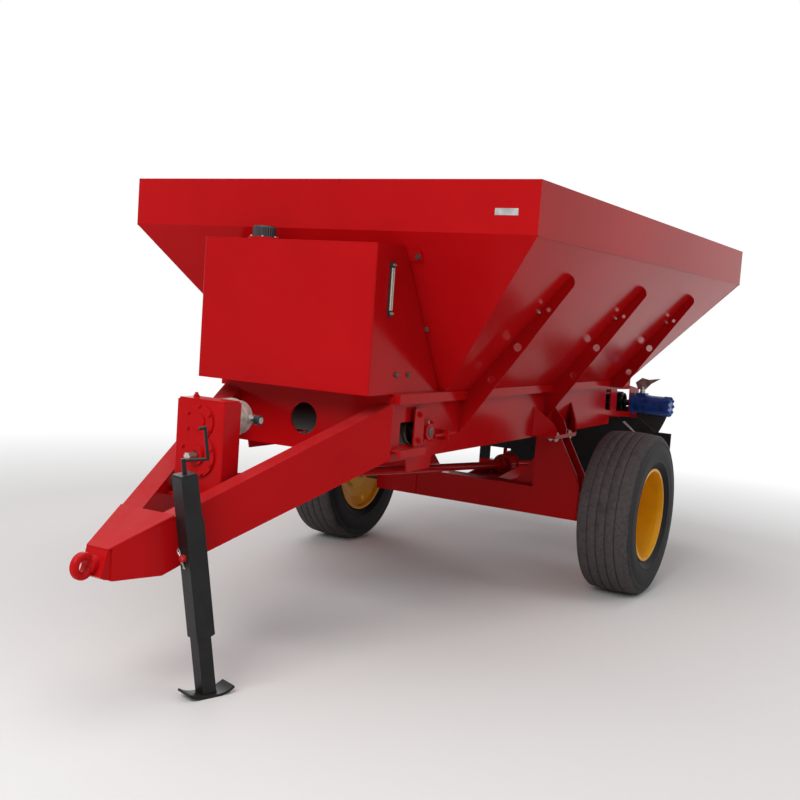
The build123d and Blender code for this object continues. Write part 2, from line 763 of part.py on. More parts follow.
def jack_mount():
    """Stub welded to the rail, with the pin on which the jack swings."""
    start = (rail_outer(jack_y), jack_y, pivot_z)
    stub = rod(start, rail_normal, jack_stub - running_gap, 1.6 * pivot_radius)
    pin = rod(start, rail_normal, jack_stub + jack_wall - 1, pivot_radius)
    return stub + pin


def jack_tube():
    """Outer square tube with its cap, a plate down its back and the lock pin's head in front."""
    half = jack_outer / 2
    tube = square_tube(-jack_below, jack_above, jack_outer, jack_wall)
    tube -= rod(jack_point(-half - 5, 0, 0), rail_normal, jack_wall + 4.5, pivot_radius + turning_fit)
    cap = extrude(jack_plane(jack_above) * Rectangle(jack_outer - 6, jack_outer - 6), 8)
    pin = rod(jack_point(0, -half, 0), jack_ahead, lock_pin_length, lock_pin_radius)
    side = Plane(origin=jack_point(6 - half, 0, 0), x_dir=jack_back, z_dir=rail_normal)
    outline = [(half, -jack_below), (half + spine_gauge, -jack_below), (half + spine_gauge, spine_top - 45),
               (half, spine_top)]
    spine = extrude(side * Polygon(*outline, align=None), jack_outer - 12)
    return tube + cap + pin + spine


def jack_crank():
    """Bent rod on top of the jack: spindle, arm and upright handle with its end turned forward."""
    out = crank_arm * math.cos(math.radians(crank_turn))
    back = crank_arm * math.sin(math.radians(crank_turn))
    low = jack_above + 8 + crank_rise
    high = low + crank_handle
    bends = [jack_point(0, 0, low), jack_point(out, back, low), jack_point(out, back, high),
             jack_point(out, back - crank_tip, high)]
    crank = rod(jack_point(0, 0, jack_above + 8), jack_up, crank_rise + crank_radius, 1.4 * crank_radius)
    for start, end in zip(bends, bends[1:]):
        crank += bar_between(start, end, crank_radius)
        crank += Pos(*end) * Sphere(crank_radius)
    return crank


def skid_side(side):
    """Curved end of the skid's outline, from its flat middle up over the tip and back."""
    end = foot_length / 2
    middle = (end + foot_flat) / 2
    top = foot_upturn + foot_gauge * 0.8
    rise = foot_gauge + (top - foot_gauge) / 4
    return (ThreePointArc((side * foot_flat, 0), (side * middle, foot_upturn / 4), (side * end, foot_upturn))
            + Line((side * end, foot_upturn), (side * (end - 5), top))
            + ThreePointArc((side * (end - 5), top), (side * (middle - 2), rise), (side * foot_flat, foot_gauge)))


def jack_leg():
    """Inner tube with its long skid foot, curved up to both ends; the foot rests on the ground."""
    low = -(pivot_z - foot_gauge - 6) / math.cos(lean)
    side = jack_outer - 2 * (jack_wall + running_gap)
    tube = square_tube(low, -60, side, jack_wall)
    foot_y = jack_centre[1] - jack_up[1] * leg_length
    foot_x = jack_centre[0] - jack_up[0] * leg_length
    edge = (Line((-foot_flat, 0), (foot_flat, 0)) + skid_side(1)
            + Line((foot_flat, foot_gauge), (-foot_flat, foot_gauge)) + skid_side(-1))
    plane = Plane(origin=(-foot_width / 2, 0, 0), x_dir=(0, 1, 0), z_dir=(1, 0, 0))
    skid = extrude(plane * make_face(edge), foot_width, dir=(1, 0, 0))
    skid += block(-side / 2, side / 2, -side / 2, side / 2, foot_gauge - 1, 2 * foot_gauge)
    skid = Pos(foot_x, foot_y, 0) * (Rot(0, 0, -math.degrees(rail_angle)) * skid)
    tube -= block(-rail_rear_half, rail_rear_half, 2 * nose_y, 0, -50, foot_gauge)
    return tube + skid


# ---- gearbox, pump and tank ------------------------------------------------------------------

def gearbox_case():
    half = gearbox_width / 2
    case = block(-half, half, gearbox_front, gearbox_rear, gearbox_bottom, gearbox_top)
    case = fillet(case.edges().filter_by(Axis.Z), 8)
    lid = block(-half + 8, half - 8, gearbox_front + 8, gearbox_rear - 8, gearbox_top, gearbox_top + 8)
    return case + lid


def gearbox_covers():
    """Two round covers that overlap on the gearbox's front; the lower one lets the stub out."""
    upper = rod((0, gearbox_front, pump_shaft_z), (0, -1, 0), cover_gauge - 4, upper_cover_radius)
    upper += rod((0, gearbox_front, pump_shaft_z), (0, -1, 0), cover_gauge + 2, upper_cover_radius * 0.45)
    lower = rod((0, gearbox_front, input_z), (0, -1, 0), cover_gauge, input_cover_radius)
    lower += rod((0, gearbox_front, input_z), (0, -1, 0), 2 * cover_gauge, input_cover_radius * 0.45)
    return upper + lower - rod((0, gearbox_front + 5, input_z), (0, -1, 0), 4 * cover_gauge, pto_radius + 4)


def pto_stub():
    """Splined drive stub with six keys."""
    stub = rod((0, gearbox_front, input_z), (0, -1, 0), pto_length, pto_radius)
    for i in range(6):
        groove = block(-4, 4, gearbox_front - pto_length - 5, gearbox_front - 30, pto_radius - 3, pto_radius + 5)
        stub -= Pos(0, 0, input_z) * (Rot(0, 60 * i, 0) * groove)
    return stub


def gearbox_seat():
    """Cross plate between the rails, on which the gearbox stands."""
    y0 = gearbox_front - seat_margin
    y1 = gearbox_rear + seat_margin
    outline = [(-rail_inner(y0), y0), (rail_inner(y0), y0), (rail_inner(y1), y1), (-rail_inner(y1), y1)]
    return flat_plate(outline, gearbox_bottom - seat_gauge, gearbox_bottom)


def hydraulic_pump():
    """Pump on the gearbox's back, with a smaller rear body and a stepped outlet to the side."""
    z = pump_shaft_z + 12
    step = pump_length * 0.6
    body = rod((pump_offset, gearbox_rear, z), (0, 1, 0), step, pump_radius)
    body += rod((pump_offset, gearbox_rear + step, z), (0, 1, 0), pump_length - step, pump_radius - 12)
    port_y = gearbox_rear + pump_length * 0.75
    for reach, radius in ((pump_port_reach, 15), (pump_port_reach - 25, 22), (pump_port_reach - 50, 18)):
        body += rod((pump_offset, port_y, z), (1, 0, 0), reach, radius)
    return body


def tank_body(inset):
    """Tank's form, upright in front and sloped like the hopper behind, shrunk by an inset."""
    gap = tank_gap * math.hypot(1, front_slope)
    outline = [(tank_front + inset, beam_top + inset), (tank_front + inset, tank_top - inset),
               (front_y(tank_top) - gap - inset, tank_top - inset),
               (front_y(beam_top) - gap - 2 * inset, beam_top + inset)]
    return side_plate(outline, inset - tank_half, tank_half - inset)


def oil_tank():
    tank = tank_body(0)
    return fillet(tank.edges().filter_by(Axis.Z), 10) - tank_body(tank_gauge)


def tank_lugs():
    """Ears that lie between the tank and the hopper's front wall and bolt on beside the tank."""
    gap = tank_gap * math.hypot(1, front_slope)
    lugs = None
    for z, half, reach in ((upper_lug_z, upper_lug_half, upper_lug_reach),
                           (lower_lug_z, lower_lug_half, lower_lug_reach)):
        low, high = z - half, z + half
        outline = [(front_y(low), low), (front_y(high), high), (front_y(high) - gap, high),
                   (front_y(low) - gap, low)]
        lug = side_plate(outline, tank_half - lug_inset, tank_half + reach)
        lugs = lug if lugs is None else lugs + lug
    return both_sides(lugs)


def filler_cap():
    neck = rod((cap_x, cap_y, tank_top), (0, 0, 1), 12, neck_radius)
    cap = rod((cap_x, cap_y, tank_top + 12), (0, 0, 1), cap_height, cap_radius)
    return neck + fillet(cap.edges().sort_by(Axis.Z)[-1], 8)


def level_gauge():
    """Sight tube between two end blocks on a back plate."""
    top = gauge_low + gauge_length
    gauge = block(tank_half, tank_half + 8, gauge_y - 17, gauge_y + 17, gauge_low, top)
    for z in (gauge_low + 16, top - 15):
        gauge += block(tank_half, tank_half + 22, gauge_y - 14, gauge_y + 14, z - 12, z + 12)
    return gauge + rod((tank_half + 15, gauge_y, gauge_low + 10), (0, 0, 1), gauge_length - 19, 5.5)


# ---- conveyor --------------------------------------------------------------------------------

def belt():
    """Endless belt round the two end rollers."""
    inner = roller_radius + running_gap
    outer = inner + belt_thickness
    span = drive_roller_y - front_roller_y
    plane = Plane(origin=(-belt_half, (drive_roller_y + front_roller_y) / 2, roller_z),
                  x_dir=(0, 1, 0), z_dir=(1, 0, 0))
    loop = plane * SlotCenterToCenter(span, 2 * outer) - plane * SlotCenterToCenter(span, 2 * inner)
    return extrude(loop, 2 * belt_half)


def roller(y, z, radius, half, core):
    """Hollow drum on a through shaft; core is the shaft's half length and radius."""
    shaft_half, shaft_r = core
    drum = rod((-half, y, z), (1, 0, 0), 2 * half, radius, radius - 10)
    for x in (-half + 20, half - 30):
        drum += rod((x, y, z), (1, 0, 0), 10, radius - 9)
    return drum + rod((-shaft_half, y, z), (1, 0, 0), 2 * shaft_half, shaft_r)


def carry_rollers():
    rollers = None
    for i in range(carry_count):
        y = front_roller_y + carry_pitch * (i + 1)
        tube = roller(y, roller_z + roller_radius - carry_radius, carry_radius, belt_half, (inner_half, 15.0))
        rollers = tube if rollers is None else rollers + tube
    return rollers


def bearing(x, y, out):
    """Flange bearing housing on the outside of a web."""
    half = bearing_half
    base = block(min(x, x + 12 * out), max(x, x + 12 * out), y - half, y + half, roller_z - half, roller_z + half)
    base = fillet(base.edges().filter_by(Axis.X), 20)
    base += rod((x + 12 * out, y, roller_z), (out, 0, 0), 24, 44)
    return base - rod((x - 5 * out, y, roller_z), (out, 0, 0), 60, shaft_radius + turning_fit)


def take_up():
    """Tension screws for the front roller, with the shelf and strap that guard them."""
    y = front_roller_y + bearing_half
    z = roller_z - 27
    x = web_x + 26
    lug = block(web_x, web_x + 48, y + 120, y + 132, z - 30, z + 26)
    screw = rod((x, y, z), (0, 1, 0), 250, 9)
    nuts = rod((x, y + 104, z), (0, 1, 0), 16, 15) + rod((x, y + 132, z), (0, 1, 0), 16, 15)
    y0, y1 = beam_start, front_roller_y - bearing_half
    out = web_x + guard_shelf_out
    shelf = flat_plate([(web_x, y0), (out, y0), (out, y1), (web_x, y1)], guard_shelf_z - 8, guard_shelf_z)
    shelf += side_plate([(y0, guard_shelf_z), (y0, guard_shelf_z - 40), (y1, guard_shelf_z - 40), (y1, guard_shelf_z)],
                        out - 8, out)
    shelf = fillet(shelf.edges().filter_by(Axis.Z).sort_by(Axis.X)[-2:], 24)
    strap_y = y1 - strap_width - 4
    strap = block(web_x + strap_stand, web_x + strap_stand + 8, strap_y, strap_y + strap_width,
                  guard_shelf_z, strap_top)
    strap = fillet(strap.edges().filter_by(Axis.X), 10)
    for bolt_z in (guard_shelf_z + 34, strap_top - 34):
        strap += rod((web_x, strap_y + strap_width / 2, bolt_z), (1, 0, 0), strap_stand, 16)
    return both_sides(lug + screw + nuts + shelf + strap)


def belt_motor():
    """Orbital motor on the tail frame, on the drive roller's axis, with a scalloped end cap."""
    # place outside the web and radius of each turned section
    sections = ((0, 20, motor_radius + 8), (20, 118, motor_radius - 4), (118, 138, motor_radius + 2),
                (138, 262, motor_radius), (262, motor_end_x - web_x, motor_radius + 4))
    motor = None
    for start, end, radius in sections:
        part = rod((web_x + start, drive_roller_y, roller_z), (1, 0, 0), end - start, radius)
        motor = part if motor is None else motor + part
    for i in range(8):
        angle = math.radians(45 * i + 22.5)
        reach = motor_radius + 10
        motor -= rod((web_x + 264, drive_roller_y + reach * math.cos(angle), roller_z + reach * math.sin(angle)),
                     (1, 0, 0), motor_end_x, 16)
    motor += block(web_x + 36, web_x + 112, drive_roller_y - 42, drive_roller_y + 42,
                   roller_z + 40, roller_z + motor_radius + 14)
    return motor - rod((web_x - 5, drive_roller_y, roller_z), (1, 0, 0), 65, shaft_radius + turning_fit)


def motor_fittings():
    """Plated adapters on the motor's ports and the bent plate that they carry."""
    z = roller_z + motor_radius + 14
    x = web_x + 74
    fittings = cross_plate([(web_x + 34, z + 27), (x + 23, z + 30), (x + 65, z + 78), (web_x + 213, z + 127),
                            (x + 45, z + 110), (x - 11, z + 121), (web_x + 12, z + 79)],
                           drive_roller_y - 4, drive_roller_y + 4)
    for y in (drive_roller_y - 18, drive_roller_y + 18):
        fittings += rod((x, y, z), (0, 0, 1), 52, 14.5)
    return fittings


# ---- spreading unit --------------------------------------------------------------------------

def spinner_disc(x):
    """Disc with raised throwing vanes on a hub."""
    disc = rod((x, disc_y, disc_z), (0, 0, 1), 6, disc_radius)
    disc += rod((x, disc_y, disc_z), (0, 0, 1), 40, 50)
    vane = side_plate([(45, 5), (disc_radius - 6, 5), (disc_radius - 6, vane_height + 5), (60, 32)], -3, 3)
    for i in range(vane_count):
        disc += Pos(x, disc_y, disc_z) * (Rot(0, 0, 360 / vane_count * i) * vane)
    return disc - rod((x, disc_y, disc_z - 5), (0, 0, 1), 35, pivot_radius + turning_fit)


def shaft_line(start, end, radius, coupling, grip):
    """Slanting shaft between two upright faces, with a level coupling on each of them."""
    line = bar_between((0, start[0] + grip / 2, start[1]), (0, end[0] - grip / 2, end[1]), radius)
    line += rod((0, *start), (0, 1, 0), grip, coupling)
    return line + rod((0, *end), (0, -1, 0), grip, coupling)


def drive_shafts():
    """Drive line over the axle with its bearing housing, and the shafts on to the discs' gearboxes."""
    housing = rod((0, housing_y, housing_z), (0, 1, 0), housing_length, housing_body)
    for y in (housing_y, housing_rear - housing_rim):
        housing += rod((0, y, housing_z), (0, 1, 0), housing_rim, housing_radius)
    front = shaft_line((gearbox_rear, line_front_z), (housing_y, housing_z), line_radius,
                       coupling_radius, coupling_length)
    rear = shaft_line((housing_rear, housing_z), (disc_y - bevel_half, drive_z), drive_shaft_radius,
                      drive_coupling_radius, drive_coupling_length)
    cross = rod((bevel_half, disc_y, drive_z), (1, 0, 0), disc_x - 2 * bevel_half, drive_shaft_radius)
    return housing + front + rear + both_sides(cross)


def disc_gearboxes():
    """Bevel boxes hung under the deck: one at the drive line's end and one with a shaft up to each disc."""
    boxes = None
    top = drive_z + bevel_depth / 2
    for x in (-disc_x, 0, disc_x):
        box = block(x - bevel_half, x + bevel_half, disc_y - bevel_half, disc_y + bevel_half,
                    top - bevel_depth, top)
        box = fillet(box.edges().filter_by(Axis.Z), 18)
        if x:
            box += rod((x, disc_y, top), (0, 0, 1), disc_z - top + 29, pivot_radius)
        boxes = box if boxes is None else boxes + box
    return boxes


def spinner_frame():
    """Tapered sill, its hangers from the tail frame, and the deck that carries the discs."""
    end = post_outer
    outline = [(-end, sill_top), (end, sill_top), (end, sill_end),
               (deck_half, sill_bottom), (-deck_half, sill_bottom), (-end, sill_end)]
    t = sill_sheet
    inside = [(-end - t, sill_top - t), (end + t, sill_top - t), (end + t, sill_end + t),
              (deck_half, sill_bottom + t), (-deck_half, sill_bottom + t), (-end - t, sill_end + t)]
    y1 = guard_y + sill_depth
    sill = cross_plate(outline, guard_y, y1) - cross_plate(inside, guard_y + t, y1 + t)
    deck_low = drive_z + bevel_depth / 2
    back = disc_y + 90
    deck = block(-deck_half, deck_half, guard_y + t, back, deck_low, deck_low + deck_gauge)
    for x in (-disc_x, disc_x):
        deck -= rod((x, disc_y, deck_low - 5), (0, 0, 1), 4 * deck_gauge, pivot_radius + 4)
    arm = side_plate([(guard_y + t, sill_top), (y1, sill_top), (back, deck_low - 28), (back, deck_low),
                      (guard_y + t, deck_low)], deck_half - t, deck_half)
    top = tail_edge(guard_y, tail_low_front, tail_low_rear) + 18
    hanger = side_plate([(guard_y + t, sill_top), (guard_y + 68, sill_top), (guard_y + 68, top),
                         (guard_y + t, top)], inner_half - 64, inner_half - 56)
    foot = block(inner_half - 64, inner_half, guard_y + t, guard_y + 68, top - t, top)
    return sill + deck + both_sides(arm + hanger + foot)


def spinner_guard():
    """Dark plate ahead of the discs: sloping shoulders, two posts and a shield down to the sill."""
    corner = web_x + 18
    half = [(shield_half, sill_top), (shield_half, guard_bottom), (post_inner, guard_bottom),
            (post_inner, sill_top), (post_outer, sill_top), (post_outer, guard_bottom),
            (guard_half, guard_bottom), (guard_half, guard_top), (guard_half - 125, guard_top),
            (guard_half - 262, guard_peak), (corner, guard_peak), (corner, guard_under_belt)]
    outline = half + [(-x, z) for x, z in reversed(half)]
    plate = cross_plate(outline, guard_y, guard_y + guard_gauge)
    return plate - rod((0, guard_y - 5, guard_shaft_z), (0, 1, 0), 4 * guard_gauge, drive_shaft_radius + 6)


def drop_apron():
    """Rubber apron behind the belt's end, hung from a bar on the tail frames, its ends rounded."""
    y = tail_rear
    foot = apron_half * 0.79
    edge = (Line((-foot, apron_bottom), (foot, apron_bottom))
            + ThreePointArc((foot, apron_bottom), (apron_half - 52, apron_top - 174), (apron_half, apron_top - 48))
            + Line((apron_half, apron_top - 48), (apron_half - 20, apron_top))
            + Line((apron_half - 20, apron_top), (20 - apron_half, apron_top))
            + Line((20 - apron_half, apron_top), (-apron_half, apron_top - 48))
            + ThreePointArc((-apron_half, apron_top - 48), (52 - apron_half, apron_top - 174), (-foot, apron_bottom)))
    plane = Plane(origin=(0, y + 8, 0), x_dir=(1, 0, 0), z_dir=(0, -1, 0))
    sheet = extrude(plane * make_face(edge), apron_gauge, dir=(0, 1, 0))
    bar = block(20 - apron_half, apron_half - 20, y, y + 8, apron_top - 44, apron_top)
    return bar + sheet


# ---- output ----------------------------------------------------------------------------------

def build():
    os.makedirs("parts", exist_ok=True)
    left_beam = side_beam()
    left_ribs = hopper_ribs()
    save(hopper_shell(), "hopper_shell")
    save(gate(), "discharge_gate")
    save(gate_guides(), "gate_guides")
    save(skirts(), "hopper_skirts")
    save(left_ribs, "ribs_left")
    save(mirror(left_ribs, about=Plane.YZ), "ribs_right")
    save(left_beam, "side_beam_left")
    save(mirror(left_beam, about=Plane.YZ), "side_beam_right")
    save(front_member(), "front_cross_member")
    save(cross_members(), "cross_members")
    save(axle_brackets(), "axle_brackets")
    save(axle_beam(), "axle_beam")
    save(axle_uprights(), "axle_uprights")
    save(spindles(), "spindles")
    for name, piece in (("tyre", tyre()), ("wheel_rim", wheel_rim()), ("wheel_hub", hub())):
        save(piece, f"{name}_left")
        save(mirror(piece, about=Plane.YZ), f"{name}_right")
    rail = drawbar_rails()
    save(rail, "drawbar_rail_left")
    save(mirror(rail, about=Plane.YZ), "drawbar_rail_right")
    save(drawbar_nose(), "drawbar_nose")
    save(tow_eye(), "tow_eye")
    save(jack_mount(), "jack_mount")
    save(jack_tube(), "jack_tube")
    save(jack_crank(), "jack_crank")
    save(jack_leg(), "jack_leg")
    save(gearbox_case(), "gearbox_case")
    save(gearbox_covers(), "gearbox_covers")
    save(pto_stub(), "pto_stub")
    save(gearbox_seat(), "gearbox_seat")
    save(hydraulic_pump(), "hydraulic_pump")
    save(oil_tank(), "oil_tank")
    save(tank_lugs(), "tank_lugs")
    save(filler_cap(), "filler_cap")
    save(level_gauge(), "level_gauge")
    save(belt(), "floor_belt")
    save(roller(front_roller_y, roller_z, roller_radius, belt_half + 20, (web_x + 40, shaft_radius)),
         "front_roller")
    save(roller(drive_roller_y, roller_z, roller_radius, belt_half + 20, (web_x + 55, shaft_radius)),
         "drive_roller")
    save(carry_rollers(), "carry_rollers")
    save(both_sides(bearing(web_x, front_roller_y, 1)), "front_bearings")
    save(bearing(-web_x, drive_roller_y, -1), "drive_bearing")
    save(take_up(), "take_up_screws")
    save(belt_motor(), "belt_motor")
    save(motor_fittings(), "motor_fittings")
    save(spinner_disc(disc_x), "spinner_disc_left")
    save(spinner_disc(-disc_x), "spinner_disc_right")
    save(drive_shafts(), "drive_shafts")
    save(disc_gearboxes(), "disc_gearboxes")
    save(spinner_frame(), "spinner_frame")
    save(spinner_guard(), "spinner_guard")
    save(drop_apron(), "drop_apron")


build()
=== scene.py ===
import json
import math
import random

import bmesh
import bpy
from mathutils import Matrix, Vector


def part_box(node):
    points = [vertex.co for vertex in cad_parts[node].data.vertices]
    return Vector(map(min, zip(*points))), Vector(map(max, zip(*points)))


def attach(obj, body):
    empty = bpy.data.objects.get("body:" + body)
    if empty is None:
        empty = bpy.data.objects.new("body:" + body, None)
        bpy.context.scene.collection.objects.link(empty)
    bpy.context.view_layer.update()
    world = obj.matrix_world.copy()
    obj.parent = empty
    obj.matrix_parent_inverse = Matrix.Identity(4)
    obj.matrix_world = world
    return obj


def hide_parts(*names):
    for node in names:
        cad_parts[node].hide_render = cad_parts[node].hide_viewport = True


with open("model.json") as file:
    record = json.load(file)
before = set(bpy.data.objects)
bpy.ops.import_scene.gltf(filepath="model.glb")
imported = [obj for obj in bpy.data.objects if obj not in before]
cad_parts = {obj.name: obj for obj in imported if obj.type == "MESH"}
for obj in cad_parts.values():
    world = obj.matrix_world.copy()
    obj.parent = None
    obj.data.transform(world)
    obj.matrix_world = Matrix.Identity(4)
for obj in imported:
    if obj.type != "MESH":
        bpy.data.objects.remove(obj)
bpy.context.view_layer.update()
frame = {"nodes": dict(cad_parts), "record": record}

random.seed(7)
scene = bpy.context.scene
nodes = frame["nodes"]
mm = 0.001
up = Vector((0, 0, 1))
across = Vector((1, 0, 0))
along = Vector((0, 1, 0))
sides = ("left", "right")


def middle(node):
    low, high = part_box(node)
    return (low + high) / 2


def joint(name):
    # place and axis of a joint, in metres
    for entry in frame["record"]["behaviour"]["joints"]:
        if entry["name"] == name:
            return Vector(entry.get("pos_m", (0, 0, 0))), Vector(entry["axis"])


def linear(hexText):
    # sRGB hex to the linear colour that a socket takes
    values = [int(hexText[i:i + 2], 16) / 255 for i in (0, 2, 4)]
    return [v / 12.92 if v <= 0.04045 else ((v + 0.055) / 1.055) ** 2.4 for v in values] + [1.0]


def add(material, kind, inputs=None, **settings):
    # one shader node with its settings; an input is a value, or (node, output) to link from
    node = material.node_tree.nodes.new("ShaderNode" + kind)
    for name, value in settings.items():
        setattr(node, name, value)
    for name, value in (inputs or {}).items():
        if isinstance(value, tuple) and isinstance(value[0], bpy.types.Node):
            material.node_tree.links.new(value[0].outputs[value[1]], node.inputs[name])
        else:
            node.inputs[name].default_value = value
    return node


def newMaterial(name):
    # an empty material and the coordinates its textures are placed by
    material = bpy.data.materials.new(name)
    material.use_nodes = True
    material.node_tree.nodes.clear()
    return material, (add(material, "TexCoord"), "Object")


def ramp(material, texture, *stops):
    # a texture's grey level to colours; stops are (place, sRGB hex or grey level)
    node = add(material, "ValToRGB", {"Fac": (texture, "Fac")})
    elements = node.color_ramp.elements
    while len(elements) < len(stops):
        elements.new(0.5)
    for element, (place, colour) in zip(elements, stops):
        element.position = place
        element.color = linear(colour) if isinstance(colour, str) else (colour, colour, colour, 1)
    return node


def relief(material, texture, strength, depth, **more):
    # bump by a texture's grey level; depth in metres
    return add(material, "Bump",
               {"Height": (texture, "Fac"), "Strength": strength, "Distance": depth, **more})


def remap(material, source, start=0.0, end=1.0, low=0.0, high=1.0):
    # from start and end of the source to low and high
    return add(material, "MapRange",
               {"Value": source, "From Min": start, "From Max": end, "To Min": low, "To Max": high})


def multiply(material, first, second):
    return add(material, "Math", {0: first, 1: second}, operation="MULTIPLY")


def finishMaterial(material, colour, roughness, bump, more):
    # more holds the shader's other inputs by name
    shader = add(material, "BsdfPrincipled",
                 {"Base Color": colour, "Roughness": roughness, "Normal": (bump, "Normal"), **more})
    add(material, "OutputMaterial", {"Surface": (shader, "BSDF")})
    print("material", material.name)
    return material


def patches(material, place, sizeMm, detail=4, roughness=0.55):
    # noise whose blotches are sizeMm across; place is the coordinate link
    return add(material, "TexNoise",
               {"Vector": place, "Scale": 1000 / sizeMm, "Detail": detail, "Roughness": roughness})


def sprayedEnamel(name, look):
    # gloss enamel sprayed on sheet steel: wavy reflections, fine orange peel, pale dust on what faces up
    material, coords = newMaterial(name)
    tone = patches(material, coords, look["toneMm"], 5)
    colour = ramp(material, tone, (0.34, look["deep"]), (0.5, look["paint"]), (0.68, look["bright"]))
    facing = add(material, "NewGeometry")
    axes = add(material, "SeparateXYZ", {"Vector": (facing, "Normal")})
    dusty = remap(material, (axes, "Z"), 0.35)
    specks = patches(material, coords, look["dustMm"], 8, 0.7)
    speckRamp = ramp(material, specks, (0.32, 0.25), (0.7, 1.0))
    dust = multiply(material, (dusty, "Result"), (speckRamp, "Color"))
    dustShare = multiply(material, (dust, "Value"), look["dustShare"])
    mixed = add(material, "Mix",
                {0: (dustShare, "Value"), 6: (colour, "Color"), 7: linear(look["dust"])}, data_type="RGBA")
    gloss = remap(material, (specks, "Fac"), 0.3, 0.75, look["roughness"] - 0.03, look["roughness"] + 0.06)
    sheet = patches(material, coords, look["waveMm"], 1)
    peel = patches(material, coords, look["peelMm"], 2)
    waves = relief(material, sheet, 0.15, look["waveDepth"])
    skin = relief(material, peel, 0.06, 0.0006, Normal=(waves, "Normal"))
    return finishMaterial(material, (mixed, 2), (gloss, "Result"), skin, {
        "IOR": 1.5, "Specular IOR Level": look["sheen"], "Coat Weight": look["coat"], "Coat Roughness": 0.1,
        "Coat IOR": 1.5})


redEnamel = sprayedEnamel("redAlkydEnamelSprayed", {
    "paint": "AE0D11", "deep": "A80B10", "bright": "B40F13", "dust": "B87476", "dustShare": 0.16,
    "toneMm": 900, "dustMm": 160, "waveMm": 1400, "waveDepth": 0.0025, "peelMm": 14,  # peel drawn coarser
    "roughness": 0.16, "sheen": 0.055, "coat": 0.0})
yellowEnamel = sprayedEnamel("yellowWheelEnamelSprayed", {
    "paint": "E4A20E", "deep": "DC980C", "bright": "EAAA16", "dust": "C2A56A", "dustShare": 0.2,
    "toneMm": 260, "dustMm": 60, "waveMm": 500, "waveDepth": 0.001, "peelMm": 9,
    "roughness": 0.34, "sheen": 0.25, "coat": 0.06})
blueEnamel = sprayedEnamel("blueMotorEnamelOnCastIron", {
    "paint": "1B4590", "deep": "14326A", "bright": "2556A8", "dust": "66748C", "dustShare": 0.25,
    "toneMm": 60, "dustMm": 40, "waveMm": 60, "waveDepth": 0.002, "peelMm": 6,
    "roughness": 0.33, "sheen": 0.3, "coat": 0.1})
blackPaint = sprayedEnamel("blackSatinPaintOnSteel", {
    "paint": "131214", "deep": "0E0D0F", "bright": "19181A", "dust": "55504D", "dustShare": 0.22,
    "toneMm": 90, "dustMm": 50, "waveMm": 200, "waveDepth": 0.001, "peelMm": 7,
    "roughness": 0.4, "sheen": 0.25, "coat": 0.0})


def mouldedTyreRubber(name, look):
    # moulded rubber, worn and dusty on the tread and nearly black down the side
    material, coords = newMaterial(name)
    shifted = add(material, "VectorMath", {0: coords, 1: look["hub"]}, operation="SUBTRACT")
    flat = add(material, "VectorMath", {0: (shifted, "Vector"), 1: (0, 1, 1)}, operation="MULTIPLY")
    radius = add(material, "VectorMath", {0: (flat, "Vector")}, operation="LENGTH")
    grit = patches(material, coords, 22, 8, 0.75)
    smear = patches(material, coords, 180, 4)
    tread = remap(material, (radius, "Value"), look["shoulder"], look["crown"])
    worn = multiply(material, (tread, "Result"), (smear, "Fac"))
    sideColour = ramp(material, grit, (0.3, "0F0E11"), (0.75, "19181C"))
    treadColour = ramp(material, grit, (0.25, "353131"), (0.55, "4B4545"), (0.8, "5B5452"))
    share = remap(material, (worn, "Value"), 0.14, 0.42)
    mixed = add(material, "Mix",
                {0: (share, "Result"), 6: (sideColour, "Color"), 7: (treadColour, "Color")}, data_type="RGBA")
    bump = relief(material, grit, 0.3, 0.0015)
    gloss = remap(material, (share, "Result"), low=0.58, high=0.8)
    return finishMaterial(material, (mixed, 2), (gloss, "Result"), bump,
                          {"IOR": 1.52, "Specular IOR Level": 0.15})


def wornSteel(name, look):
    # bare or plated steel: faint tool marks and a mottled tarnish
    material, coords = newMaterial(name)
    stretch = add(material, "Mapping", {"Vector": coords, "Scale": look["grain"]})
    lines = patches(material, (stretch, "Vector"), look["lineMm"], 3)
    tarnish = patches(material, coords, look["tarnishMm"], 7, 0.65)
    colour = ramp(material, tarnish, (0.35, look["dull"]), (0.62, look["clean"]))
    gloss = remap(material, (lines, "Fac"), low=look["roughness"] - 0.1, high=look["roughness"] + 0.16)
    bump = relief(material, lines, 0.15, 0.0004)
    return finishMaterial(material, (colour, "Color"), (gloss, "Result"), bump,
                          {"Metallic": look["metallic"]})


zincSteel = wornSteel("zincPlatedSteelFastener", {
    "dull": "8C8A84", "clean": "C2C0BA", "grain": (1, 1, 1), "lineMm": 12, "tarnishMm": 30, "roughness": 0.36,
    "metallic": 0.9})
stainlessSheet = wornSteel("stainlessSheetRolled", {
    "dull": "8E8E8C", "clean": "B8B8B6", "grain": (1, 14, 1), "lineMm": 40, "tarnishMm": 120,
    "roughness": 0.3, "metallic": 1.0})
darkSteel = wornSteel("millScaleSteelRolled", {
    "dull": "3A3634", "clean": "6A6460", "grain": (8, 1, 1), "lineMm": 30, "tarnishMm": 50, "roughness": 0.5,
    "metallic": 0.7})
castAluminium = wornSteel("aluminiumSandCast", {
    "dull": "9B9890", "clean": "C4C2BC", "grain": (1, 1, 1), "lineMm": 6, "tarnishMm": 40, "roughness": 0.46,
    "metallic": 0.85})


def plyBeltRubber(name):
    # calendered rubber belting with a dusty, faintly ribbed face
    material, coords = newMaterial(name)
    dusty = patches(material, coords, 240, 8, 0.7)
    colour = ramp(material, dusty, (0.3, "2B2826"), (0.6, "3D3936"), (0.78, "5A534D"))
    grit = patches(material, coords, 14, 3)
    bump = relief(material, grit, 0.35, 0.001)
    return finishMaterial(material, (colour, "Color"), 0.78, bump, {"IOR": 1.52})


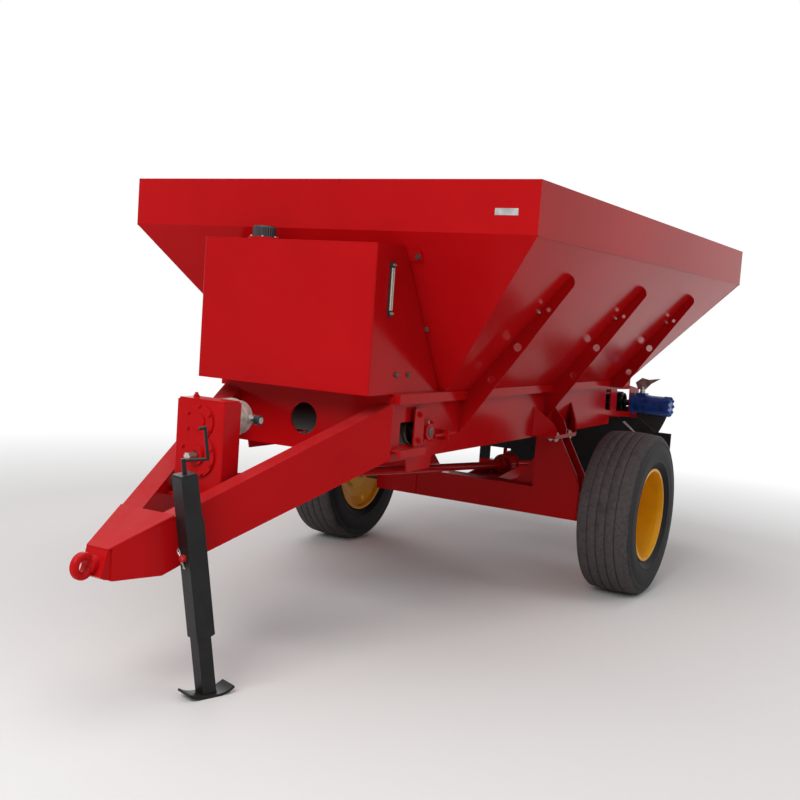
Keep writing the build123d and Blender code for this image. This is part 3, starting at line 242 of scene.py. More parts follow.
def mouldedPlastic(name, low, high, roughness):
    # injection moulded plastic with a fine spark-eroded grain
    material, coords = newMaterial(name)
    grain = patches(material, coords, 5, 3)
    colour = ramp(material, grain, (0.3, low), (0.7, high))
    bump = relief(material, grain, 0.2, 0.0003)
    return finishMaterial(material, (colour, "Color"), roughness, bump, {"IOR": 1.49})


beltRubber = plyBeltRubber("plyBeltRubberCalendered")
blackPlastic = mouldedPlastic("polyamideBlackMoulded", "17171A", "232326", 0.5)
gaugePlastic = mouldedPlastic("polycarbonateGaugeMoulded", "A9A394", "C9C5B8", 0.2)
redPlastic = mouldedPlastic("redGripPlasticMoulded", "A51C1C", "C02626", 0.4)
wear = {"fromMm": 60, "fullMm": 15}  # down from the crown
tyreRubber = {}
for side in sides:
    hub = middle(f"tyre_{side}")
    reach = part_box(f"tyre_{side}")[1].z - hub.z
    tyreRubber[side] = mouldedTyreRubber(f"tyreRubberMoulded_{side}", {
        "hub": tuple(hub), "shoulder": reach - wear["fromMm"] * mm, "crown": reach - wear["fullMm"] * mm})

slotMaterials = {
    "red_paint": redEnamel, "yellow_paint": yellowEnamel, "black_paint": blackPaint, "blue_paint": blueEnamel,
    "tyre_rubber": tyreRubber["left"], "belt_rubber": beltRubber, "bare_steel": darkSteel,
    "cast_aluminium": castAluminium, "stainless": stainlessSheet, "black_plastic": blackPlastic,
    "clear_plastic": gaugePlastic,
}
for part in frame["record"]["subparts"]:
    mesh = nodes[part["node"]].data
    mesh.materials.clear()
    mesh.materials.append(slotMaterials[part["material_slot"]])
for name, finish in (("drive_roller", blackPaint), ("pto_stub", zincSteel), ("motor_fittings", zincSteel)):
    nodes[name].data.materials[0] = finish
print("CAD nodes dressed:", len(nodes))


def axisFrame(at, outward, turn=0.0):
    # places a shape built along +Z so that it points outward from at
    facing = Vector(outward).normalized().to_track_quat("Z", "Y").to_matrix().to_4x4()
    return Matrix.Translation(at) @ facing @ Matrix.Rotation(turn, 4, "Z")


def circle(radius, height, steps):
    # points round the Z axis
    return [Vector((radius * math.cos(math.tau * i / steps), radius * math.sin(math.tau * i / steps), height))
            for i in range(steps)]


def joinRings(mesh, rings, close=False):
    # faces between neighbouring rings, with flat ends unless the last ring joins the first
    pairs = list(zip(rings, rings[1:]))
    if close:
        pairs.append((rings[-1], rings[0]))
    for ringA, ringB in pairs:
        for i in range(len(ringA)):
            j = (i + 1) % len(ringA)
            mesh.faces.new((ringA[i], ringA[j], ringB[j], ringB[i]))
    if not close:
        mesh.faces.new(rings[0][::-1])
        mesh.faces.new(rings[-1])


def lathe(mesh, profile, place, steps=48, close=False):
    # profile of (height, radius) spun about the placed Z axis
    joinRings(mesh, [[mesh.verts.new(place @ p) for p in circle(radius, height, steps)]
                     for height, radius in profile], close)


def turned(profile):
    # a lathe profile given in mm
    return [(height * mm, radius * mm) for height, radius in profile]


def prism(mesh, sides, radius, heights, place, top=1.0):
    # bar with a regular outline; top is the upper end's share of the radius
    lathe(mesh, [(heights[0], radius), (heights[1], radius * top)], place, sides)


# lengths ending in Mm are in mm, the others are shares of the thread
bolt = {"flats": 0.9, "washer": 1.2, "washerEdge": 1.12, "washerMm": (-0.5, 2.2, 2.6), "headMm": 2.4,
        "head": 0.55, "crown": 0.66, "crownFlats": 0.86, "stud": 0.5, "studTip": 0.4, "studFrom": 0.6,
        "studTo": 0.7, "tipMm": 1.5}


def hexBolt(mesh, at, outward, size=12, turn=0.0, thread=0.0):
    # washer, chamfered hex head and, where it shows, a thread end; size is the thread in mm
    place = axisFrame(at, outward, turn)
    wide = size * mm
    flats = wide * bolt["flats"]
    foot = bolt["headMm"] * mm
    shoulder = foot + wide * bolt["head"]
    washer = zip(bolt["washerMm"], (bolt["washer"], bolt["washer"], bolt["washerEdge"]))
    lathe(mesh, [(height * mm, flats * share) for height, share in washer], place, 20)
    prism(mesh, 6, flats, (foot, shoulder), place)
    prism(mesh, 6, flats, (shoulder, foot + wide * bolt["crown"]), place, bolt["crownFlats"])
    if thread:
        stud = wide * bolt["stud"]
        end = wide * bolt["studTo"] + thread
        lathe(mesh, [(wide * bolt["studFrom"], stud), (end, stud),
                     (end + bolt["tipMm"] * mm, wide * bolt["studTip"])], place, 14)


def tube(mesh, points, radius, steps=10):
    # round bar through points, ends closed
    points = [Vector(p) for p in points]
    rings = []
    ahead = (points[1] - points[0]).normalized()
    turn = ahead.to_track_quat("Z", "Y").to_matrix()
    for i, point in enumerate(points):
        heading = (points[min(i + 1, len(points) - 1)] - points[max(i - 1, 0)]).normalized()
        # each ring turns only as far as the bar bends, so that the seam does not spin
        turn = ahead.rotation_difference(heading).to_matrix() @ turn
        ahead = heading
        rings.append([mesh.verts.new(point + turn @ p) for p in circle(radius, 0, steps)])
    joinRings(mesh, rings)


ripple = {"crest": 0.5, "trough": 0.42, "spread": 0.12, "end": 0.3, "steps": 8}


def weldBead(mesh, start, end, width=4.5, pitch=10):
    # rippled fillet along a seam, width and pitch in mm
    start, end = Vector(start), Vector(end)
    count = max(3, int((end - start).length / (pitch * mm)))
    turn = (end - start).normalized().to_track_quat("Z", "Y").to_matrix()
    rings = []
    for n in range(2 * count + 1):
        centre = start.lerp(end, n / (2 * count))
        share = ripple["crest"] if n % 2 else ripple["trough"]
        radius = width * mm * share * (1 + ripple["spread"] * (random.random() - 0.5))
        radius *= ripple["end"] if n in (0, 2 * count) else 1
        rings.append([mesh.verts.new(centre + turn @ p) for p in circle(radius, 0, ripple["steps"])])
    joinRings(mesh, rings)


def slab(mesh, corner, size, place=None):
    # rectangular plate from a corner; bevelled later with the rest of its piece
    place = place or Matrix.Identity(4)
    points = [mesh.verts.new(place @ (Vector(corner) + Vector((size[0] * i, size[1] * j, size[2] * k))))
              for i in (0, 1) for j in (0, 1) for k in (0, 1)]
    for face in ((0, 1, 3, 2), (4, 6, 7, 5), (0, 4, 5, 1), (2, 3, 7, 6), (0, 2, 6, 4), (1, 5, 7, 3)):
        mesh.faces.new([points[n] for n in face])


def toObject(name, mesh, material):
    data = bpy.data.meshes.new(name)
    mesh.to_mesh(data)
    mesh.free()
    data.materials.append(material)
    thing = bpy.data.objects.new(name, data)
    scene.collection.objects.link(thing)
    return thing


def piece(name, mesh, material=redEnamel, body="chassis", bevel=0, smooth=35,
          replaces=()):
    # closes the bmesh into an object that rides on its body; bevel is in mm
    bmesh.ops.recalc_face_normals(mesh, faces=mesh.faces)
    if bevel:
        edges = [e for e in mesh.edges if len(e.link_faces) == 2 and e.calc_face_angle(0) > math.radians(40)]
        bmesh.ops.bevel(mesh, geom=edges, offset=bevel * mm, segments=2, affect="EDGES", clamp_overlap=True)
    thing = toObject(name, mesh, material)
    thing.data.shade_smooth()
    thing.data.set_sharp_from_angle(angle=math.radians(smooth))
    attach(thing, body)
    if replaces:
        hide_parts(*replaces)


# the pairs, in mm, go in from the side or out from the bead, and down from the crown or up from the rim
tyre = {"ribs": 5, "grooveMm": 7, "grooveDepthMm": 8, "lipMm": 1, "crownDropMm": 9, "treadInMm": 30,
        "treadDownMm": 0.5, "grooveFoot": 2.4, "steps": 144, "beadInMm": 9.5, "wellMm": (20, 9),
        "shoulder": ((30, 9.5), (19, 20), (9, 44), (7, 52), (9, 55), (4, 74), (1.5, 100), (1, 125), (3, 150)),
        "flank": ((6, 50), (5, 46), (8, 43), (16, 26)),
        "bead": ((8, 16), (6, 12), (0, 6), (-1, -10))}


def buildTyre(side):
    low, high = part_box(f"tyre_{side}")
    rimLow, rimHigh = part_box(f"wheel_rim_{side}")
    centre = (low + high) / 2
    crown = (high.z - low.z) / 2
    half = (high.x - low.x) / 2
    bead = (rimHigh.x - rimLow.x) / 2 - tyre["beadInMm"] * mm
    rimRadius = (rimHigh.z - rimLow.z) / 2
    out = []
    treadHalf = half - tyre["treadInMm"] * mm
    groove = tyre["grooveMm"] * mm
    lip = tyre["lipMm"] * mm
    for n in range(tyre["ribs"] - 1):
        x = -treadHalf + (n + 1) * 2 * treadHalf / tyre["ribs"]
        top = crown - (tyre["crownDropMm"] * (x / treadHalf) ** 2 + tyre["treadDownMm"]) * mm
        deep = top - tyre["grooveDepthMm"] * mm
        foot = groove / tyre["grooveFoot"]
        out += [(x - groove / 2 - lip, top), (x - groove / 2, top - lip), (x - foot, deep),
                (x + foot, deep), (x + groove / 2, top - lip), (x + groove / 2 + lip, top)]
    edge = [(half - x * mm, crown - drop * mm) for x, drop in tyre["shoulder"]]
    edge += [(half - x * mm, rimRadius + rise * mm) for x, rise in tyre["flank"]]
    edge += [(bead + x * mm, rimRadius + rise * mm) for x, rise in tyre["bead"]]
    wellX, wellZ = Vector(tyre["wellMm"]) * mm
    profile = [(-x, r) for x, r in edge][::-1] + out + edge
    profile += [(bead - wellX, rimRadius - wellZ), (wellX - bead, rimRadius - wellZ)]
    mesh = bmesh.new()
    lathe(mesh, profile, axisFrame(centre, across), tyre["steps"], close=True)
    piece(f"ribbedTyre_{side}", mesh, tyreRubber[side], f"wheel_{side}", 0, 50,
          [f"tyre_{side}"])


wheel = {"discInMm": 78, "nuts": 10, "nutCircleMm": 112.5, "nutMm": 20, "studMm": 8,
         "valveOutMm": 16, "valveDownMm": 250,
         "valve": ((0, 8), (6, 8), (8, 4.5), (38, 4.2), (39, 5), (50, 5), (51, 4))}  # height and radius


def buildWheelTrim(side):
    sign = 1 if side == "left" else -1
    centre = middle(f"wheel_hub_{side}")
    centre.x = middle(f"wheel_rim_{side}").x - sign * wheel["discInMm"] * mm
    mesh = bmesh.new()
    for n in range(wheel["nuts"]):
        angle = math.tau * (n + 0.5) / wheel["nuts"]
        place = centre + (along * math.cos(angle) + up * math.sin(angle)) * wheel["nutCircleMm"] * mm
        hexBolt(mesh, place, across * sign, wheel["nutMm"], angle, wheel["studMm"] * mm)
    piece(f"wheelNuts_{side}", mesh, zincSteel, f"wheel_{side}", 0.4)
    mesh = bmesh.new()
    stem = centre + (across * sign * wheel["valveOutMm"] - up * wheel["valveDownMm"]) * mm
    lathe(mesh, turned(wheel["valve"]), axisFrame(stem, across * sign), 16)
    piece(f"tyreValve_{side}", mesh, blackPlastic, f"wheel_{side}")


for side in sides:
    buildTyre(side)
    buildWheelTrim(side)
print("wheels built")

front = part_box("hopper_shell")[0].y  # the rim's front face: lengths along the machine are measured from here


def at(x, y, z):
    # a place in mm, with y measured back from the hopper's front face
    return Vector((x * mm, front + y * mm, z * mm))


blankPlate = {"corners": ((1002, -1.2, 2185), (1121, 0, 2217)), "rivetIn": 7,
              "rivet": ((0, 2.6), (1.2, 2.4), (1.9, 1.2))}


def buildBlankPlate():
    # small plate without any text on the front band, with its two rivets
    mesh = bmesh.new()
    corner, far = (at(*place) for place in blankPlate["corners"])
    slab(mesh, corner, far - corner)
    for x in (corner.x + blankPlate["rivetIn"] * mm, far.x - blankPlate["rivetIn"] * mm):
        lathe(mesh, turned(blankPlate["rivet"]), axisFrame((x, corner.y, (corner.z + far.z) / 2), -along), 14)
    piece("blankPlate", mesh, stainlessSheet, "chassis", 0.3)


buildBlankPlate()


def boltGroup(name, bolts, slot="bare_steel", body="chassis", bare=zincSteel):
    # bolts are (place, outward, thread in mm, thread end in mm), painted over or bare
    mesh = bmesh.new()
    for place, outward, size, threadEnd in bolts:
        hexBolt(mesh, place, outward, size, random.uniform(0, 1), threadEnd * mm)
    piece(name, mesh, bare if slot == "bare_steel" else slotMaterials[slot], body, 0.4)


def boltRing(centre, outward, look, start=0.0, threadEnd=0):
    # a bolt circle for boltGroup, with the count, circle and size from a piece's dictionary
    place = axisFrame(centre, outward, start)
    return [(place @ p, outward, look["boltMm"], threadEnd)
            for p in circle(look["circleMm"] * mm, 0, look["bolts"])]


hubTrim = {"bolts": 6, "circleMm": 50, "boltMm": 8, "capInMm": 21}


def buildHubTrim(side):
    # small bolts round the hub's nose
    outward = across if side == "left" else -across
    low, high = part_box(f"wheel_hub_{side}")
    centre = middle(f"wheel_hub_{side}") + outward * ((high.x - low.x) / 2 - hubTrim["capInMm"] * mm)
    boltGroup(f"hubBolts_{side}", boltRing(centre, outward, hubTrim), body=f"wheel_{side}")


for side in sides:
    buildHubTrim(side)

hopper = {"seatHalf": 558, "seatFront": 499, "seatRear": 3620, "seatZ": 1300, "foldZ": 2098, "half": 1225,
          "length": 4075, "seamIn": (1, 1, 6, 2), "beadMm": 5, "pitchMm": 14, "lipMm": 8, "lipIn": 3}


def buildHopperSeams():
    # weld beads down the four leaning corners, and the narrow lip where each side wall turns up into the band
    h = hopper
    seams, lips = bmesh.new(), bmesh.new()
    lip = h["lipMm"]
    inX, inY, footUp, topDown = h["seamIn"]
    for sign in (-1, 1):
        for low, high in ((h["seatFront"], inY), (h["seatRear"], h["length"] - inY)):
            weldBead(seams, at(sign * (h["seatHalf"] - inX), low, h["seatZ"] + footUp),
                     at(sign * (h["half"] - inX), high, h["foldZ"] - topDown), h["beadMm"], h["pitchMm"])
        slab(lips, at(sign * h["half"] - lip / 2, h["lipIn"], h["foldZ"] - lip),
             (lip * mm, (h["length"] - 2 * h["lipIn"]) * mm, lip * mm))
    piece("hopperSeams", seams)
    piece("hopperFoldLips", lips, bevel=1.5)


buildHopperSeams()

sideRib = {"places": (774.25, 2021.2, 3154.05), "gaugeMm": 10, "webX": 512, "lipX": 563, "lipZ": (1250, 1306),
           "foot": (522, 1062), "footDrop": 13, "shortFootX": 657, "edgeAngle": -35.6, "wallAngle": 61.3,
           "wallRun": 0.83584, "tip": (1085.5, 1918.7), "tipRadius": 41.3,
           "holes": ((993, 1771, 12), (832, 1560, 23), (694, 1372, 22)),
           "boltZ": 1760, "boltAheadMm": 22, "boltMm": 10, "weldX": 512.5, "weldZ": (1078, 1245),
           "weldOut": 6}


def arc(centre, radius, start, end, steps):
    # points of an arc in the machine's cross plane, angles in degrees
    angles = [math.radians(start + (end - start) * i / steps) for i in range(steps + 1)]
    return [(centre[0] + radius * math.cos(a), centre[1] + radius * math.sin(a)) for a in angles]


def cutPlate(mesh, loops, through):
    # flat plate from its outline and the loops of its holes; through is its thickness as a vector
    rims = []
    for offset in (Vector(), through):
        edges = []
        for loop in loops:
            points = [mesh.verts.new(p + offset) for p in loop]
            edges += [mesh.edges.new((a, b)) for a, b in zip(points, points[1:] + points[:1])]
        bmesh.ops.triangle_fill(mesh, use_beauty=True, edges=edges)
        rims.append(edges)
    for near, far in zip(*rims):
        mesh.faces.new((near.verts[0], near.verts[1], far.verts[1], far.verts[0]))


def buildSideRibs(side):
    # tapered outriggers up the leaning wall: straight outer edge, round tip and three holes
    r = sideRib
    sign = 1 if side == "left" else -1
    upper = arc(r["tip"], r["tipRadius"], r["edgeAngle"], r["wallAngle"], 16) + [(r["lipX"], r["lipZ"][1])]
    onWeb = [(r["webX"], r["foot"][1] + r["footDrop"]), r["foot"]] + upper
    onWeb += [(r["lipX"], r["lipZ"][0]), (r["webX"], r["lipZ"][0])]
    onLip = [(r["lipX"], r["lipZ"][0]), (r["shortFootX"], r["lipZ"][0])] + upper
    holes = [arc((x, z), radius, 0, 360, 28)[:-1] for x, z, radius in r["holes"]]
    plates = bmesh.new()
    welds = bmesh.new()
    bolts = []
    wallOut = Vector((sign, 0, -r["wallRun"])).normalized()
    boltX = hopper["seatHalf"] + r["wallRun"] * (r["boltZ"] - hopper["seatZ"])
    for y in r["places"]:
        rearmost = y == r["places"][-1]  # its foot stops at the beam's lip, clear of the tail's windows
        loops = [[at(sign * x, y - r["gaugeMm"] / 2, z) for x, z in loop]
                 for loop in [onLip if rearmost else onWeb] + holes]
        cutPlate(plates, loops, along * r["gaugeMm"] * mm)
        for edge in () if rearmost else (-r["weldOut"], r["weldOut"]):
            start, end = (at(sign * r["weldX"], y + edge, z) for z in r["weldZ"])
            weldBead(welds, start, end)
        bolts.append((at(sign * boltX, y - r["boltAheadMm"], r["boltZ"]), wallOut, r["boltMm"], 6))
    piece(f"sideRibs_{side}", plates, bevel=1, replaces=[f"ribs_{side}"])
    piece(f"ribFootWelds_{side}", welds)
    boltGroup(f"ribWallBolts_{side}", bolts)


for side in sides:
    buildSideRibs(side)

gearbox = {"covers": ({"bolts": 8, "circleMm": 88, "boltMm": 10, "inMm": 12, "clearMm": 92},
                      {"bolts": 6, "circleMm": 70, "boltMm": 10, "inMm": 8, "clearMm": 112}),
           "upperDown": 82, "breatherX": -80, "breatherMm": 16, "foot": (224, 23, 10), "footOut": 12,
           "footSunk": 0.5, "footBoltX": (-90, 90), "footBoltMm": 12}


def buildGearboxTrim():
    # painted cover bolts where the two covers leave room, a breather and the two feet
    g = gearbox
    low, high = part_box("gearbox_case")
    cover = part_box("gearbox_covers")[1]
    heights = (middle("pto_stub").z, cover.z - g["upperDown"] * mm)
    centres = [Vector((0, cover.y - look["inMm"] * mm, z)) for look, z in zip(g["covers"], heights)]
    bolts = []
    for look, centre, other in zip(g["covers"], centres, centres[::-1]):
        bolts += [entry for entry in boltRing(centre, -along, look, math.pi / look["bolts"])
                  if (entry[0] - other).length > look["clearMm"] * mm]
    boltGroup("gearboxCoverBolts", bolts, "red_paint")
    breather = Vector((g["breatherX"] * mm, (low.y + high.y) / 2, high.z))
    boltGroup("gearboxBreather", [(breather, up, g["breatherMm"], 10)], "red_paint")
    feet = bmesh.new()
    footBolts = []
    size = Vector(g["foot"]) * mm
    base = low.z + g["footSunk"] * mm
    for y in (low.y - g["footOut"] * mm, high.y + g["footOut"] * mm):
        slab(feet, (-size.x / 2, y - size.y / 2, base), size)
        footBolts += [(Vector((x * mm, y, base + size.z)), up, g["footBoltMm"], 0) for x in g["footBoltX"]]
    piece("gearboxFeet", feet, bevel=1.5)
    boltGroup("gearboxFootBolts", footBolts)


buildGearboxTrim()

pump = {"offset": 32, "bolts": 8, "circleMm": 62, "boltMm": 10, "portIn": 44, "portShare": 0.75,
        "portHexagon": (24, 14), "hoseEnd": ((13, 22.5), (15, 23.5), (40, 23.5), (43.5, 20)),
        "ribShares": (0.12, 0.3, 0.48), "rib": ((-3, 89), (-2, 91.5), (2, 91.5), (3, 89))}


def buildPumpTrim():
    # tie bolts round the pump's rear body, the dark hose end on its outlet and the ribs of its casing
    low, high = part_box("hydraulic_pump")
    length = along * (high.y - low.y)
    nose = Vector((pump["offset"] * mm, low.y, (low.z + high.z) / 2))
    boltGroup("pumpTieBolts", boltRing(nose + length, along, pump, threadEnd=4))
    port = nose + length * pump["portShare"]
    port.x = high.x - pump["portIn"] * mm
    mesh = bmesh.new()
    flats, deep = pump["portHexagon"]
    prism(mesh, 6, flats * mm, (0, deep * mm), axisFrame(port, across))
    lathe(mesh, turned(pump["hoseEnd"]), axisFrame(port, across), 28)
    piece("pumpOutletEnd", mesh, blackPlastic, "chassis", 0.8)
    mesh = bmesh.new()
    for share in pump["ribShares"]:
        lathe(mesh, turned(pump["rib"]), axisFrame(nose + length * share, along))
    piece("pumpCasingRibs", mesh, castAluminium, "chassis")


buildPumpTrim()

tankTrim = {"earBolts": ((577, 68.6, 1988, 14), (534, 290.8, 1633, 12)), "earMm": 10, "wallSlope": 0.6253,
            "plugs": ((20, 1396), (141, 1395)), "plugMm": 14, "side": 522, "weldIn": (4, 1, 3)}


def buildTankTrim():
    # bolts through the ears, two plugs low on the left side and a weld along the top edge
    low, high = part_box("oil_tank")
    wall = Vector((0, -1, -tankTrim["wallSlope"])).normalized()
    bolts = [(at(sign * x, y, z) + wall * tankTrim["earMm"] * mm, wall, size, 0)
             for sign in (-1, 1) for x, y, z, size in tankTrim["earBolts"]]
    bolts += [(at(tankTrim["side"], y, z), across, tankTrim["plugMm"], 0) for y, z in tankTrim["plugs"]]
    boltGroup("tankBolts", bolts, bare=darkSteel)
    inX, inY, inZ = Vector(tankTrim["weldIn"]) * mm
    start, end = ((x, low.y + inY, high.z - inZ) for x in (low.x + inX, high.x - inX))
    mesh = bmesh.new()
    weldBead(mesh, start, end, 5, 12)
    piece("tankTopWeld", mesh)


buildTankTrim()

cap = {"ribs": 28, "ribDepthMm": 2.6, "radiusMm": 57, "flange": ((0, 82), (10.5, 82), (12, 80.5)),
       "flangeMm": 12, "bolts": 6, "circleMm": 70, "boltMm": 6,
       "skirt": ((12, 0.0, 0), (14, 1.0, 0)),  # height up in mm, share of the rib's depth and inset in mm
       "crown": ((10, 1.0, 0), (4, 0.5, 6), (1, 0.0, 6))}  # the same, down from the top


def buildFillerCap():
    # ribbed black cap on a red bolted flange
    low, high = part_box("filler_cap")
    base = middle("filler_cap")
    base.z = low.z
    flange = bmesh.new()
    lathe(flange, turned(cap["flange"]), axisFrame(base, up), 64)
    piece("fillerFlange", flange)
    boltGroup("fillerFlangeBolts", boltRing(base + up * cap["flangeMm"] * mm, up, cap))
    mesh = bmesh.new()
    rings = []
    profile = [(low.z + height * mm, lift, inset) for height, lift, inset in cap["skirt"]]
    profile += [(high.z - down * mm, lift, inset) for down, lift, inset in cap["crown"]]
    for z, lift, inset in profile:
        loop = []
        for i, point in enumerate(circle(1.0, 0, cap["ribs"] * 4)):
            rib = lift * cap["ribDepthMm"] if i % 4 in (0, 1) else 0
            place = base + point * (cap["radiusMm"] - inset + rib) * mm
            loop.append(mesh.verts.new((place.x, place.y, z)))
        rings.append(loop)
    joinRings(mesh, rings)
    piece("ribbedFillerCap", mesh, blackPlastic, "chassis", 0, 30, ["filler_cap"])


buildFillerCap()

gauge = {"thickMm": 9, "sideIn": 1, "endMm": 28, "endIn": (8, 3, 2), "tubeMm": 4.2, "tubeOut": 11,
         "tubeIn": 26, "spreadMm": 7.5, "screwMm": 6, "screwIn": 16}


def buildLevelGauge():
    # dark frame with two sight tubes and a pair of screws at each end
    g = gauge
    low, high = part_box("level_gauge")
    thick = g["thickMm"] * mm
    mesh = bmesh.new()
    inset = g["sideIn"] * mm
    slab(mesh, (low.x, low.y + inset, low.z), (thick, high.y - low.y - 2 * inset, high.z - low.z))
    out, inset, rim = Vector(g["endIn"]) * mm
    tall = g["endMm"] * mm
    for z in (low.z + rim, high.z - rim - tall):
        slab(mesh, (low.x + out, low.y + inset, z), (thick, high.y - low.y - 2 * inset, tall))
    piece("gaugeFrame", mesh, blackPlastic, "chassis", 1.6, 35, ["level_gauge"])
    mesh = bmesh.new()
    screws = []
    radius = g["tubeMm"] * mm
    length = high.z - low.z - 2 * g["tubeIn"] * mm
    for side in (-1, 1):
        y = (low.y + high.y) / 2 + side * g["spreadMm"] * mm
        foot = Vector((low.x + g["tubeOut"] * mm, y, low.z + g["tubeIn"] * mm))
        lathe(mesh, [(0, radius), (length, radius)], axisFrame(foot, up), 16)
        screws += [(Vector((low.x + g["screwIn"] * mm, y, z)), across, g["screwMm"], 0)
                   for z in (low.z + g["screwIn"] * mm, high.z - g["screwIn"] * mm)]
    piece("gaugeTubes", mesh, gaugePlastic, "chassis")
    boltGroup("gaugeScrews", screws)


buildLevelGauge()

jack = {"halfMm": 40, "pinHead": ((0, 16), (15.5, 16), (18.5, 13)), "clipWireMm": 2.4, "clipDepthMm": 9,
        "straightLeg": ((-22, 36), (-15, 24), (-9, 8), (-3, -14), (4, -34), (12, -44)),
        "wavyLeg": ((-22, 36), (-30, 38), (-36, 31), (-34, 22), (-25, 14), (-19, 6), (-22, -4), (-21, -14),
                    (-12, -22), (-2, -27), (2, -34), (-2, -44))}


def buildJackTrim():
    # the lock pin's red head on the tube's front face, with its spring clip
    place, normal = joint("jack_swing")
    _, tubeUp = joint("jack_extend")
    ahead = normal.cross(tubeUp).normalized()
    face = place + ahead * jack["halfMm"] * mm
    mesh = bmesh.new()
    lathe(mesh, turned(jack["pinHead"]), axisFrame(face, ahead), 28)
    piece("jackPinHead", mesh, redPlastic, "jack")
    mesh = bmesh.new()
    clip = face + ahead * jack["clipDepthMm"] * mm
    for leg in (jack["straightLeg"], jack["wavyLeg"]):
        points = [clip + (normal * out + tubeUp * rise) * mm for out, rise in leg]
        tube(mesh, points, jack["clipWireMm"] * mm, 8)
    piece("jackSpringClip", mesh, zincSteel, "jack")


buildJackTrim()

bearings = {"faceX": 524, "half": 44, "boltMm": 14, "nippleAt": (10, 42),
            "nipple": ((0, 5), (5, 5), (6, 2.6), (13, 2.6), (15, 3.4), (17, 2))}


def buildBearingTrim():
    # flange bolts and grease nipples of the roller bearings
    bolts = []
    nipples = bmesh.new()
    for node, sign in (("front_bearings", -1), ("front_bearings", 1), ("drive_bearing", -1)):
        face = middle(node)
        face.x = sign * bearings["faceX"] * mm
        for dy in (-1, 1):
            for dz in (-1, 1):
                place = face + (along * dy + up * dz) * bearings["half"] * mm
                bolts.append((place, across * sign, bearings["boltMm"], 5))
        out, rise = bearings["nippleAt"]
        top = face + (across * sign * out + up * rise) * mm
        lathe(nipples, turned(bearings["nipple"]), axisFrame(top, up), 12)
    boltGroup("bearingBolts", bolts, "red_paint")
    piece("greaseNipples", nipples, zincSteel, "chassis")


buildBearingTrim()

takeUp = {"strapY": 266, "strapX": 542, "boltZ": (1056, 1188), "boltMm": 16, "screwX": 538, "screwZ": 1065,
          "threadInMm": 112, "threads": 18, "pitchMm": 6, "rootMm": 9.1, "crestMm": 10.2}


def buildTakeUpTrim():
    # bolts through the guard strap and the rolled thread of the tension screws, pitch drawn coarser
    t = takeUp
    bolts = []
    mesh = bmesh.new()
    profile = []
    for i in range(t["threads"]):
        profile += [(i * t["pitchMm"], t["rootMm"]), ((i + 0.5) * t["pitchMm"], t["crestMm"])]
    for sign in (-1, 1):
        bolts += [(at(sign * t["strapX"], t["strapY"], z), across * sign, t["boltMm"], 6) for z in t["boltZ"]]
        place = at(sign * t["screwX"], 0, t["screwZ"])
        place.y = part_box("take_up_screws")[1].y - t["threadInMm"] * mm
        lathe(mesh, turned(profile), axisFrame(place, along), 16)
    boltGroup("strapBolts", bolts, "red_paint")
    piece("tensionScrewThreads", mesh, smooth=20)


buildTakeUpTrim()

axleTrim = {"boltX": (560, 598), "boltY": (-112, 112), "boltMm": 18, "shelfMm": 12, "nutDrop": 24.64,
            "seams": (((446, 764), (-74, 74), 5), ((284, 438), (-6.5, 6.5), 4.5)),  # x span, rows and bead
            "gussetX": 513, "gussetRows": (-330, 0, 330), "gussetHalf": 5, "gussetUp": 14, "gussetMm": 180,
            "depthMm": 150, "facing": ((766, 41), (741, 116), (616, 345.5)), "facingIn": 443, "facingX": 764,
            "facingMm": 6, "facingUp": 8, "capMm": 13}


def buildAxleTrim():
    # bolts that clamp the uprights' caps to the fan brackets, nuts below, and the uprights' welds
    a = axleTrim
    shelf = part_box("axle_brackets")[0].z
    centreY = middle("spindles").y
    foot, top = (corner.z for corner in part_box("axle_uprights"))
    bolts = []
    for sign in (-1, 1):
        for x in a["boltX"]:
            for dy in a["boltY"]:
                place = Vector((sign * x * mm, centreY + dy * mm, shelf + a["shelfMm"] * mm))
                bolts.append((place, up, a["boltMm"], 0))
                bolts.append((place - up * a["nutDrop"] * mm, -up, a["boltMm"], 8))
    boltGroup("axleClampBolts", bolts)
    mesh = bmesh.new()
    for sign in (-1, 1):
        for span, rows, width in a["seams"]:
            for row in rows:
                start, end = (Vector((sign * x * mm, centreY + row * mm, foot)) for x in span)
                weldBead(mesh, start, end, width, 11)
        for row in a["gussetRows"]:
            for edge in (-a["gussetHalf"], a["gussetHalf"]):
                y = centreY + (row + edge) * mm
                place = Vector((sign * a["gussetX"] * mm, y, shelf + a["gussetUp"] * mm))
                weldBead(mesh, place, place + up * a["gussetMm"] * mm)
    piece("axleWelds", mesh)
    # facing plates that run from the uprights' caps down over the beam's front and rear
    mesh = bmesh.new()
    half = a["depthMm"] / 2 * mm
    thick = a["facingMm"] * mm
    capZ = top - a["capMm"] * mm
    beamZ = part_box("axle_beam")[0].z + a["facingUp"] * mm
    outline = [(x, foot + rise * mm) for x, rise in a["facing"]]
    outline += [(a["facingIn"], capZ), (a["facingIn"], beamZ), (a["facingX"], beamZ)]
    for sign in (-1, 1):
        for y in (centreY - half - thick, centreY + half):
            cutPlate(mesh, [[Vector((sign * x * mm, y, z)) for x, z in outline]], along * thick)
    piece("uprightFacings", mesh, bevel=1)


buildAxleTrim()

motor = {"bolts": 8, "circleMm": 62, "boltMm": 12, "adapterIn": 74, "adapterY": (-18, 18),
         "hexagons": ((18, 0, 14), (17, 26, 40))}


